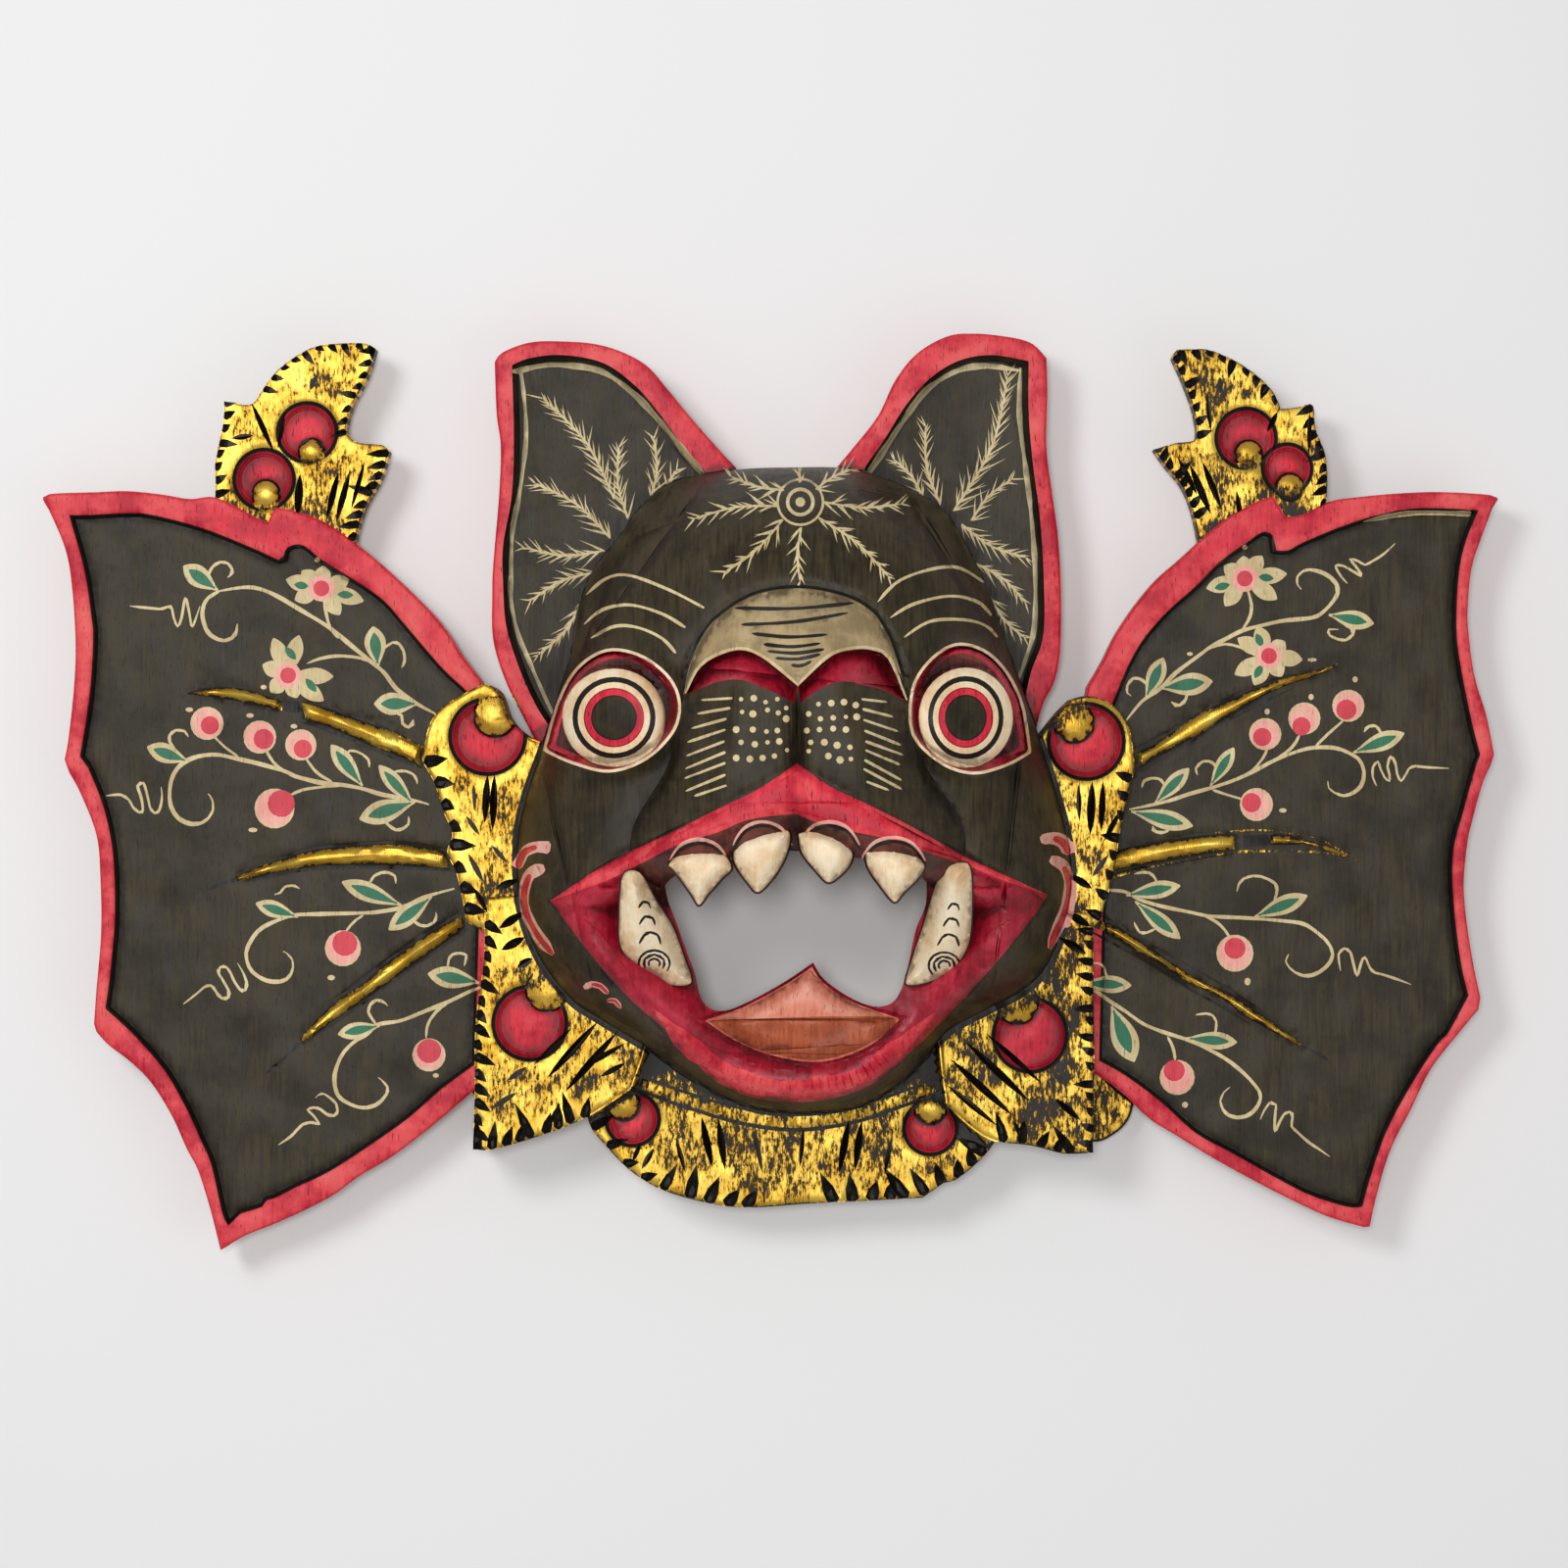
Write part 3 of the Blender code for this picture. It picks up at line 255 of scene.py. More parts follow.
FACE_EDGE = [
    [(582, 671), (590, 622), (606, 581), (631, 549), (655, 516), (684, 493), (725, 483), (766, 478),
     (806, 477), (853, 477), (888, 483), (929, 500), (962, 520), (986, 557), (1006, 598), (1023, 646),
     (1037, 687), (1052, 728), (1066, 768), (1080, 813), (1092, 862), (1094, 903), (1084, 952), (1068, 989),
     (1043, 1013), (1005, 1033), (970, 1052), (946, 1078), (921, 1103), (880, 1127), (835, 1134),
     (790, 1133), (749, 1123), (700, 1097), (670, 1076), (640, 1058), (610, 1040), (582, 1021),
     (553, 984.5), (535, 944), (527, 903), (527, 854), (535, 813), (551, 768), (566, 722), (582, 671)],
]
EAR_EDGE = {
    "left": [
        [(504.5, 369), (513, 359), (541, 349), (574, 348), (606.5, 350.6), (635, 359), (660, 373),
         (680, 395.5), (700, 420), (725, 449), (751, 477)],
        [(751, 477), (740, 580), (670, 700), (600, 770), (555.5, 762)],
        [(555.5, 762), (549, 761), (536, 736), (516.5, 697), (503, 653), (502, 606), (503, 576),
         (509, 504), (510.6, 455), (506.5, 422), (504.5, 369)],
    ],
    "right": [
        [(853.5, 477), (872, 455), (896, 424), (913, 389), (933, 363), (958, 346.5), (982, 340),
         (1019, 342), (1051, 349), (1068, 365)],
        [(1068, 365), (1069, 402), (1068, 455), (1074, 504), (1080, 549), (1083, 606), (1082, 663),
         (1076, 695.5), (1064, 720), (1053, 762)],
        [(1053, 762), (1000, 770), (930, 700), (860, 580), (853.5, 477)],
    ],
}
EAR_FIELD = {
    "left": [
        [(523, 373), (541, 366), (574, 363), (615, 371), (647, 393.5), (672, 422), (696, 455),
         (721, 483), (738, 500)],
        [(738, 500), (720, 600), (660, 690), (590, 745), (562, 742)],
        [(562, 742), (549, 722), (536, 695), (524, 663), (516.5, 634), (514, 595), (514, 557),
         (523, 504), (525, 442), (523, 373)],
    ],
    "right": [
        [(870, 498), (882, 479), (904.5, 446.5), (925, 414), (949, 387), (978, 369), (1011, 363),
         (1049, 369)],
        [(1049, 369), (1049, 422), (1053.5, 475), (1060, 524), (1064, 581), (1064, 646.5),
         (1051, 687), (1043, 725)],
        [(1043, 725), (1000, 745), (940, 690), (880, 600), (870, 498)],
    ],
}
EAR_LINE = {
    "left": [(563, 728), (549, 697), (540, 676), (528, 647), (521, 615), (520.5, 588), (522, 543),
             (529, 504), (536, 442), (531, 381), (526, 377)],
    "left_top": [(523, 379), (545, 373), (570, 371), (611, 377), (643, 398), (672, 428), (700, 463),
                 (722, 488)],
    "right": [(881, 490), (900, 462), (921, 430), (945, 398), (975, 378), (1005, 372), (1042, 377)],
    "right_side": [(1042, 374), (1041, 422), (1047, 475), (1053, 524), (1057, 581), (1056, 640),
                   (1046, 676), (1037, 700)],
}
SCROLL_EDGE = {
    "left": [
        [(497, 698), (484, 704), (468, 713), (455, 721), (445, 732), (439, 746), (436, 761),
         (434, 776), (446, 799), (455, 828), (464, 850), (459, 869), (468, 890), (475, 920), (478, 940)],
        [(478, 940), (540, 960), (600, 900), (600, 800), (560, 760)],
        [(560, 760), (540, 752), (522, 735), (511, 707), (497, 698)],
    ],
    "right": [
        [(1092, 714), (1104, 711), (1119, 713), (1134, 721), (1146, 734), (1151, 748), (1154, 771),
         (1155, 788), (1151, 798), (1148, 817), (1140, 850), (1134, 890), (1118, 945)],
        [(1118, 945), (1060, 960), (1010, 900), (1010, 800), (1050, 765)],
        [(1050, 765), (1062, 748), (1078, 728), (1092, 714)],
    ],
}
LEAF_EDGE = {
    "left": [
        [(500, 915), (498, 927), (496, 980), (488, 1042), (487, 1111), (485, 1170)],
        [(485, 1170), (504, 1170), (553, 1156), (598, 1138), (645, 1108)],
        [(645, 1108), (660, 1040), (620, 960), (560, 915), (500, 915)],
    ],
    "right": [
        [(1113, 930), (1113, 989), (1114, 1080), (1113, 1173)],
        [(1113, 1173), (1084, 1174), (1051, 1166), (1006, 1158), (965, 1125)],
        [(965, 1125), (960, 1040), (1000, 960), (1060, 930), (1113, 930)],
    ],
}
COLLAR_EDGE = [
    [(598, 1120), (602, 1146), (615, 1164), (643, 1193), (676, 1213), (725, 1227), (766, 1231),
     (827, 1227), (888, 1224), (941, 1221)],
    [(941, 1221), (962, 1207), (978, 1201), (1006, 1176), (1023, 1150)],
    [(1023, 1150), (990, 1080), (940, 1060), (806, 1090), (680, 1060), (598, 1120)],
]
LUG_EDGE = {
    "left": [[(470, 1040), (512, 1030), (560, 1060), (560, 1120), (490, 1125), (476, 1100), (470, 1040)]],
    "right": [[(1060, 1060), (1105, 1060), (1128, 1100), (1160, 1128)],
              [(1160, 1128), (1154, 1146), (1140, 1160), (1118, 1168), (1090, 1150), (1060, 1120),
               (1060, 1060)]],
}
MOUTH_TOP = [
    [(562, 919), (623, 879), (684, 850), (725, 829), (774, 805), (814, 778)],
    [(814, 778), (847, 801), (888, 821), (929, 842), (990, 876), (1031, 895), (1070, 913)],
]
MOUTH_EDGE = MOUTH_TOP + [
    [(1070, 913), (1051, 940), (1011, 989), (970, 1033.5), (929, 1074), (888, 1107), (847, 1121),
     (806, 1124.5), (766, 1119), (725, 1099), (692, 1062), (643, 1019), (602, 972), (562, 919)],
]
UPPER_LIP = MOUTH_TOP + [
    [(1070, 913), (1030, 900), (990, 884), (949, 870), (913, 857), (880, 850), (845, 842), (812, 830)],
    [(812, 830), (782, 833), (758, 838), (733, 849), (696, 860), (660, 878), (620, 898), (562, 919)],
]
SNOUT_EDGE = [
    [(698, 708), (709, 667), (733, 630), (770, 607), (815, 600), (858, 607), (888, 622), (913, 659),
     (927, 716)],
    [(927, 716), (945, 780), (985, 850), (960, 905), (815, 930), (665, 905), (645, 850), (682, 780),
     (698, 708)],
]
NOSE_LEAF = [
    [(698, 709), (704, 680), (716, 652), (733, 630), (770, 607), (815, 600), (858, 607), (888, 622),
     (906, 647), (918, 680), (927, 716)],
    [(927, 716), (921, 692), (908, 673), (890, 663), (868, 663), (846, 671), (815, 700)],
    [(815, 700), (782, 673), (758, 663), (733, 669), (713, 683), (698, 709)],
]
NOSTRILS = [
    ([(700, 709), (713, 683), (733, 669), (758, 663), (782, 673), (815, 700)],
     [(815, 720), (800, 711), (786, 704), (758, 693.5), (733, 695.5), (700, 709)]),
    ([(815, 700), (846, 671), (868, 663), (890, 663), (908, 673), (926, 716)],
     [(926, 716), (905, 705), (888, 700), (860, 695), (835, 704), (815, 720)]),
]
TONGUE_EDGE = [
    [(830, 982), (842, 1000), (872, 1020), (925, 1038)],
    [(925, 1038), (888, 1070), (839, 1086), (790, 1080), (749, 1064), (713, 1040)],
    [(713, 1040), (741, 1031), (766, 1021), (802, 1001), (830, 982)],
]
TONGUE_UNDERSIDE = [
    [(722, 1041), (780, 1039), (850, 1037), (914, 1040), (885, 1066), (839, 1081), (790, 1076),
     (752, 1061), (722, 1041)],
]
# Painted highlight: a lighter red band along the lower lip, where its bevel faces up.
LOWER_LIP_HIGHLIGHT = [(668, 1030), (698, 1062), (732, 1088), (768, 1106), (806, 1111), (846, 1107), (884, 1094),
             (922, 1064), (956, 1032)]
GUM_EDGE = [
    [(640, 868), (700, 842), (760, 826), (812, 818), (880, 838), (950, 862), (1000, 884)],
    [(1000, 884), (960, 905), (900, 912), (815, 905), (740, 912), (680, 925), (640, 900), (640, 868)],
]
MUZZLE_CREASE_X = 813.5
MOUTH_HOLE = [
    [(679, 903), (690, 893), (716, 885), (760, 872), (815, 868), (880, 876), (930, 888), (946, 900)],
    [(946, 900), (945, 923), (935, 948), (929, 976), (923, 1001), (913, 1021), (896, 1027),
     (872, 1020), (842, 1000), (830, 982)],
    [(830, 982), (802, 1001), (766, 1021), (741, 1031), (725, 1029), (715, 1017), (709, 993),
     (700, 968), (690, 940), (682, 919), (679, 903)],
]
EYE_LIDS = {
    "left": [[(556, 765), (571, 715), (590, 682), (619, 664), (651, 668), (680, 688), (693, 714),
              (688, 744), (660, 773), (623, 786), (586, 778), (556, 765)]],
    "right": [[(1051, 767), (1043, 720), (1027, 686), (1004, 664), (975, 658), (948, 676),
               (932, 705), (933, 749), (962, 778), (994, 788), (1027, 780), (1051, 767)]],
}
EYES = {"left": (627, 732, 53, 50), "right": (986, 732, 48, 51)}
TEETH = [
    [(680, 883), (692, 868), (716.7, 862), (741, 870), (749, 886), (739, 897), (725, 913),
     (714, 925.5), (704.5, 913), (690, 893)],
    [(747, 870), (752, 856), (766, 848), (794, 843.7), (808, 848), (806.5, 868), (794, 892.7),
     (775, 912), (761.6, 901), (749, 882)],
    [(813, 849), (835, 843.7), (860, 852), (872, 868), (870, 882), (857.6, 896), (845, 902),
     (831, 888.6), (817, 870)],
    [(882, 867), (904.5, 860), (929, 866), (946, 882), (939, 897), (925, 911), (913, 922),
     (896, 903), (884, 884)],
]
TOOTH_ROOTS = [(714, 868), (779, 850), (847, 850), (912, 866)]
TUSKS = [
    ([(633, 899), (637, 889), (647, 886), (658, 893), (672, 919), (688, 944), (700, 976), (707, 1003),
      (684, 1006), (655, 989), (633, 968), (631, 931)], (645, 893), (686, 992)),
    ([(962, 882), (980, 878), (992, 884), (994, 923), (990, 964), (974, 989), (949, 1003), (924, 1005),
      (929, 980), (941, 944), (951, 911)], (981, 888), (944, 992)),
]
# Round cuts in the gold: centre, radius, knob centre, knob radius.
COMMAS = [
    ((500, 752), 36, (507, 731), 20), ((1106, 757), 36, (1094, 738), 19),
    ((543, 1042), 35, (560, 1009), 20), ((1049, 1054), 35, (1036, 1022), 20),
    ((646, 1141), 25, (637, 1127), 15), ((949, 1150), 25, (949, 1131), 15),
]
ORNAMENT_GROOVES = [
    ((500, 790), (497, 840), 8), ((507, 790), (505, 848), 8), ((486, 800), (487, 828), 4),
    ((1112, 797), (1110, 852), 9), ((1123, 797), (1121, 848), 7), ((1098, 800), (1099, 838), 5),
    ((560, 1098), (612, 1040), 8), ((578, 1112), (632, 1050), 8), ((594, 1088), (640, 1062), 6),
    ((546, 1085), (586, 1046), 5),
    ((1049, 1122), (983, 1060), 8), ((1032, 1136), (968, 1078), 8), ((1062, 1104), (1004, 1052), 6),
    ((1016, 1146), (964, 1104), 6),
    ((716, 1138), (727, 1190), 8), ((733, 1140), (740, 1192), 8), ((856, 1196), (866, 1142), 8),
    ((872, 1194), (879, 1142), 8), ((655, 1192), (668, 1170), 6), ((646, 1184), (654, 1166), 5),
    ((536, 930), (512, 946), 9), ((538, 955), (514, 968), 9),
    ((480, 870), (496, 900), 6),
    ((486, 905), (500, 930), 6), ((560, 1150), (574, 1122), 5), ((1040, 1158), (1032, 1140), 5),
    ((530, 897), (508, 906), 8), ((546, 976), (530, 986), 8),
    ((1112, 906), (1090, 892), 8), ((1110, 944), (1086, 930), 9),
    ((1106, 972), (1080, 956), 9), ((614, 1096), (640, 1082), 6), ((520, 1100), (540, 1086), 6),
    ((504, 1128), (530, 1112), 6), ((1088, 1106), (1070, 1090), 6), ((1100, 1140), (1074, 1118), 7),
    ((520, 880), (504, 862), 5), ((478, 832), (492, 852), 5), ((1140, 828), (1124, 858), 6),
    ((1128, 872), (1112, 894), 6), ((770, 1150), (778, 1196), 5), ((820, 1150), (816, 1190), 5),
    ((690, 1160), (700, 1196), 5), ((910, 1158), (902, 1198), 5),
]
# Notched gold edges: path, spacing, length, width, lean in degrees.
HEAD_NOTCHES = [
    ([(436, 778), (447, 799), (456, 828), (464, 850), (460, 869), (469, 890), (476, 925)], 21, 15, 9, 62),
    ([(498, 940), (496, 980), (488, 1042), (487, 1111), (485, 1165)], 15, 13, 7, 50),
    ([(490, 1171), (504, 1170), (553, 1156), (598, 1138)], 14, 22, 7, 76),
    ([(604, 1150), (643, 1193), (676, 1213)], 21, 17, 7, 68),
    ([(704, 1222), (725, 1227), (760, 1231)], 17, 22, 9, 80),
    ([(852, 1227), (888, 1224), (925, 1222)], 17, 22, 9, 96),
    ([(945, 1218), (978, 1201), (1006, 1176)], 18, 20, 8, 84),
    ([(1023, 1162), (1051, 1166), (1084, 1174), (1110, 1173)], 15, 20, 7, 98),
    ([(1114, 1165), (1114, 1080), (1113, 1000), (1114, 950)], 15, 12, 6, 70),
    ([(1122, 935), (1134, 890), (1148, 820), (1152, 795)], 18, 12, 7, 70),
]
CREST_NOTCHES = {
    "left": [
        ([(219, 505), (219, 471), (227, 431), (228, 412)], 12, 11, 6, 64),
        ([(268, 396), (282, 378), (301.5, 363), (323, 352.6), (348, 350), (378, 351)], 13, 10, 5, 60),
        ([(383, 357), (373.5, 384), (358, 415), (353, 440)], 12, 11, 5, 58),
        ([(397, 462), (388, 488), (372, 517), (364, 545)], 11, 15, 6, 60),
    ],
    "right": [
        ([(1219, 527.5), (1208, 498), (1190, 475), (1180, 461)], 11, 13, 6, 62),
        ([(1221, 445), (1219, 420), (1209, 391), (1199, 370)], 13, 11, 6, 62),
        ([(1204, 357), (1216, 356), (1236, 357), (1264, 369.5), (1287, 386), (1302, 403)], 13, 11, 6, 60),
        ([(1340, 415), (1343, 437), (1353, 464), (1355, 496), (1355, 510)], 12, 12, 6, 60),
    ],
}

# Painted vines. Stems and curls: points and width.
VINES = {
    "left": [
        ([(445, 729), (423, 717), (404, 703), (391, 686), (380, 677), (357, 658), (335, 640), (304, 621),
          (280, 607), (262, 600), (246, 599), (221, 603)], 5),
        ([(214, 600), (212, 585), (219, 575), (228, 573), (234, 577), (236, 584), (231, 589)], 3.4),
        ([(224, 602), (211, 610), (206, 620), (206, 632), (211, 645), (221, 652), (231, 653), (239, 647),
          (241, 636)], 4.6),
        ([(131, 618), (150, 620), (165, 621), (173, 618), (176, 630), (180, 639), (184, 630), (188, 610),
          (192, 625), (195, 639), (203, 618)], 3),
        ([(345, 651), (336, 640), (332, 626), (330, 612)], 4),
        ([(382, 679), (370, 672), (345, 669), (325, 672), (312, 677)], 3.6),
        ([(385, 667), (395, 658), (404, 655), (411, 664), (412, 675), (409, 681)], 3.2),
        ([(402, 727), (409, 730), (410, 738), (416, 742), (421, 739), (421, 734)], 3.2),
        ([(437, 821), (423, 817), (390, 811), (370, 805), (349, 801), (328, 799), (300, 792), (290, 787),
          (262, 779), (240, 774), (220, 770), (200, 772), (185, 779), (176, 790), (172, 805), (173, 822),
          (181, 835), (195, 841), (208, 838), (216, 827), (215, 815), (211, 810)], 5),
        ([(349, 801), (328, 803), (308, 806), (294, 812)], 3.6),
        ([(188, 776), (180, 768), (172, 757), (172, 750), (178, 745), (187, 746), (191, 752)], 3),
        ([(107, 812), (122, 811), (130, 816), (136, 826), (144, 829), (143, 815), (139, 802), (145, 799),
          (149, 812), (153, 827), (160, 829), (164, 815), (163, 803)], 3),
        ([(242, 772), (228, 762), (216, 750)], 3), ([(298, 792), (280, 780), (270, 765)], 3.4),
        ([(338, 798), (322, 788), (310, 772)], 3.2),
        ([(350, 772), (356, 766), (366, 768), (375, 775), (376, 783)], 3),
        ([(396, 792), (404, 787), (414, 787), (423, 792), (425, 800)], 3),
        ([(388, 836), (393, 839), (399, 845), (407, 847), (416, 841), (416, 833)], 3.2),
        ([(463, 907), (431, 916), (410, 926), (383, 931), (363, 932), (323, 933), (300, 934), (283, 939),
          (265, 948), (255, 960), (250, 973), (253, 987), (260, 995), (271, 1001), (285, 1002), (294, 997),
          (298, 987), (296, 977), (288, 971)], 4.6),
        ([(372, 906), (377, 900), (381, 894), (392, 890), (402, 894), (403, 902)], 3),
        ([(416, 934), (425, 943), (435, 945), (444, 939), (444, 931)], 3),
        ([(279, 913), (285, 911), (290, 905), (300, 904), (305, 907)], 2.8),
        ([(370, 934), (360, 941), (352, 951)], 3.2),
        ([(186, 1025), (200, 1014), (210, 1006), (217, 1008), (221, 1016), (229, 1020), (233, 1014),
          (227, 1002), (221, 991), (227, 986), (233, 991), (238, 1002), (246, 1012), (251, 1006),
          (247, 993), (241, 983)], 3),
        ([(500, 1004), (479, 1012), (456, 1023), (431, 1033), (408, 1042), (385, 1046), (373, 1056),
          (360, 1064), (348, 1077), (341, 1095), (341, 1110), (346, 1121), (360, 1129), (373, 1131),
          (386, 1126), (395, 1114), (392, 1106), (385, 1100)], 4.6),
        ([(384, 1048), (381, 1043), (375, 1033), (379, 1023), (388, 1021), (395, 1027)], 3),
        ([(452, 992), (456, 987), (458, 977), (465, 973), (475, 975), (473, 986)], 2.8),
        ([(283, 1169), (296, 1160), (308, 1148), (319, 1146), (325, 1148), (319, 1139), (313, 1133),
          (323, 1131), (335, 1139), (343, 1137), (342, 1127), (336, 1121), (327, 1116), (321, 1121)], 3),
        ([(456, 1024), (446, 1031), (436, 1045), (434, 1060)], 3.4),
    ],
    "right": [
        ([(1150, 735), (1161, 721), (1169, 713), (1184, 703), (1201, 686), (1221, 671), (1236, 660),
          (1253, 651), (1269, 643), (1292, 637), (1311, 633), (1340, 630), (1350, 625), (1360, 615),
          (1366, 605), (1365, 596), (1359, 589), (1348, 583), (1334, 581), (1325, 588), (1325, 596),
          (1329, 601)], 4.6),
        ([(1174, 703), (1167, 694), (1157, 692), (1151, 699), (1151, 707), (1155, 710)], 3),
        ([(1213, 705), (1209, 717), (1200, 720), (1196, 716)], 3),
        ([(1371, 628), (1375, 638), (1383, 643), (1378, 651), (1370, 653), (1358, 648), (1357, 642),
          (1367, 642)], 3),
        ([(1376, 595), (1369, 587), (1364, 577), (1372, 577), (1390, 587), (1385, 578), (1379, 570),
          (1387, 572), (1394, 576), (1402, 572), (1413, 565), (1425, 554)], 3),
        ([(1274, 601), (1278, 617), (1276, 630), (1268, 643)], 3.4),
        ([(1236, 661), (1250, 657), (1263, 659), (1275, 664), (1284, 670)], 3.2),
        ([(1153, 826), (1173, 822), (1194, 817), (1215, 810), (1240, 803), (1263, 795), (1282, 786),
          (1301, 776), (1321, 768), (1340, 763), (1362, 763), (1375, 767), (1387, 774), (1392, 783),
          (1393, 792), (1390, 802), (1382, 809), (1372, 812), (1363, 809), (1357, 804), (1356, 797)], 4.4),
        ([(1190, 806), (1186, 796), (1176, 794), (1168, 797), (1166, 804)], 3),
        ([(1244, 787), (1238, 778), (1228, 777), (1221, 784), (1223, 791)], 3),
        ([(1196, 845), (1192, 848), (1185, 850), (1177, 847), (1177, 843)], 3),
        ([(1408, 756), (1411, 752), (1408, 743), (1402, 740), (1395, 743), (1393, 747)], 3),
        ([(1295, 761), (1290, 773), (1278, 787), (1265, 795)], 3.2),
        ([(1327, 750), (1319, 763), (1301, 776)], 3.2),
        ([(1372, 735), (1355, 750), (1343, 762)], 3.2), ([(1270, 816), (1253, 811), (1238, 806)], 3),
        ([(1406, 802), (1402, 793), (1402, 783), (1407, 777), (1410, 785), (1414, 793), (1419, 797),
          (1419, 790), (1417, 782), (1420, 772), (1425, 778), (1427, 790), (1431, 797), (1437, 788),
          (1442, 782), (1458, 783), (1480, 784)], 2.8),
        ([(1118, 908), (1148, 910), (1163, 918), (1186, 925), (1215, 931), (1235, 935), (1273, 937),
          (1311, 940), (1331, 943), (1344, 951), (1356, 962), (1361, 974), (1356, 985), (1344, 994),
          (1331, 996), (1319, 990), (1313, 981), (1316, 974)], 4.2),
        ([(1182, 902), (1177, 893), (1169, 890), (1158, 892)], 2.8),
        ([(1180, 948), (1167, 953), (1161, 948), (1158, 941)], 2.8),
        ([(1300, 925), (1304, 905), (1292, 896), (1279, 894), (1267, 899), (1263, 910)], 3.2),
        ([(1225, 932), (1242, 941), (1252, 951), (1258, 962)], 3.2),
        ([(1369, 991), (1367, 974), (1373, 968), (1379, 972), (1382, 983), (1386, 996), (1390, 983),
          (1394, 977), (1401, 991), (1413, 995), (1428, 1000), (1441, 1005)], 3),
        ([(1102, 1004), (1119, 1012), (1133, 1022), (1150, 1033), (1167, 1045), (1186, 1053), (1208, 1060),
          (1225, 1067), (1250, 1080), (1267, 1093), (1279, 1105), (1287, 1117), (1285, 1128), (1276, 1138),
          (1263, 1141), (1251, 1136), (1246, 1124), (1250, 1115), (1256, 1110)], 4.2),
        ([(1134, 1002), (1129, 994), (1127, 987), (1121, 983), (1111, 983)], 2.8),
        ([(1240, 1060), (1242, 1043), (1235, 1035), (1221, 1036)], 2.8),
        ([(1192, 1058), (1198, 1070), (1200, 1083)], 3.2),
        ([(1287, 1143), (1291, 1134), (1298, 1125), (1303, 1128), (1302, 1140), (1302, 1155), (1307, 1145),
          (1313, 1136), (1320, 1137), (1319, 1150), (1326, 1157), (1336, 1166), (1348, 1174),
          (1358, 1181)], 3),
    ],
}
FIELD_TOP_LINES = {"left": [], "right": [[(1502, 524), (1450, 523), (1420, 526), (1392, 532)]]}
# Leaves: base, tip and width.
VINE_LEAVES = {
    "left": [((221, 602), (186, 577), 22), ((385, 680), (380, 639), 22), ((426, 718), (381, 718), 23),
             ((191, 777), (149, 762), 20),
             ((369, 802), (337, 760), 19), ((421, 821), (386, 781), 17), ((423, 818), (366, 836), 24),
             ((409, 924), (348, 900), 20),
             ((440, 915), (396, 949), 20), ((303, 936), (260, 922), 17), ((387, 1047), (344, 1056), 17),
             ((489, 1003), (436, 994), 22)],
    "right": [((1170, 712), (1188, 671), 19), ((1185, 702), (1238, 695), 23),
              ((1357, 627), (1403, 636), 19), ((1179, 820), (1214, 784), 17),
              ((1236, 802), (1260, 763), 16), ((1155, 828), (1218, 843), 20),
              ((1382, 768), (1434, 748), 19), ((1150, 914), (1205, 904), 18),
              ((1159, 920), (1205, 958), 18), ((1281, 936), (1335, 914), 19),
              ((1104, 1003), (1155, 1006), 18), ((1135, 1027), (1158, 1084), 27),
              ((1211, 1060), (1263, 1064), 18)],
}
# Berries: centre, radius, core centre, core radius.
BERRIES = {
    "left": [((210, 738), 16, (213, 740), 9.5), ((264, 752), 16, (268, 754), 10.5),
             ((306, 760), 15, (308, 764), 9.5), ((279, 825), 19.5, (286, 820), 14),
             ((349, 968), 17.5, (351, 963), 13), ((437, 1077), 16, (437, 1073), 12.5)],
    "right": [((1292, 749), 15.5, (1289, 752), 9.5), ((1332, 733), 15.5, (1329, 741), 9.5),
              ((1377, 720), 15.5, (1375, 724), 10.5), ((1283, 821), 16, (1278, 819), 10),
              ((1261, 973), 18, (1261, 968), 11), ((1202, 1100), 17, (1199, 1093), 11)],
}
# Flowers: centre, petal tips, green strokes.
FLOWERS = {
    "left": [((327, 600), [(329, 577), (307, 582), (291, 591), (300, 612), (346, 627), (370, 613),
                           (355, 591)], [(314, 598, 299, 596), (343, 606, 360, 607)]),
             ((293, 689), [(267, 678), (278, 651), (304, 648), (339, 690), (329, 715), (302, 712),
                           (275, 706)], [(301, 673, 290, 660), (311, 692, 322, 706)])],
    "right": [((1271, 590),
               [(1270, 567), (1289, 567), (1314, 585), (1304, 611), (1251, 618), (1232, 600), (1250, 577)],
               [(1285, 588, 1301, 590), (1256, 596, 1240, 600)]),
              ((1296, 669), [(1284, 639), (1264, 651), (1312, 654), (1330, 673), (1309, 690), (1281, 699),
                             (1261, 688)], [(1289, 660, 1283, 646), (1289, 678, 1281, 692)])],
}
VINE_DABS = {
    "left": [(323, 571, 4, 3), (268, 701, 4, 3), (192, 724, 5, 3), (254, 730, 5, 3), (299, 741, 4.5, 3),
             (257, 847, 6, 3), (337, 998, 5, 3.5), (444, 1098, 4, 3)],
    "right": [(1271, 558, 4, 3), (1340, 673, 6, 2.5), (1215, 667, 4, 2.5), (1294, 726, 3.5, 4),
              (1339, 711, 3.5, 4), (1384, 693, 3.5, 4), (1310, 827, 5, 3), (1274, 1002, 4, 5),
              (1210, 1128, 4, 4)],
}

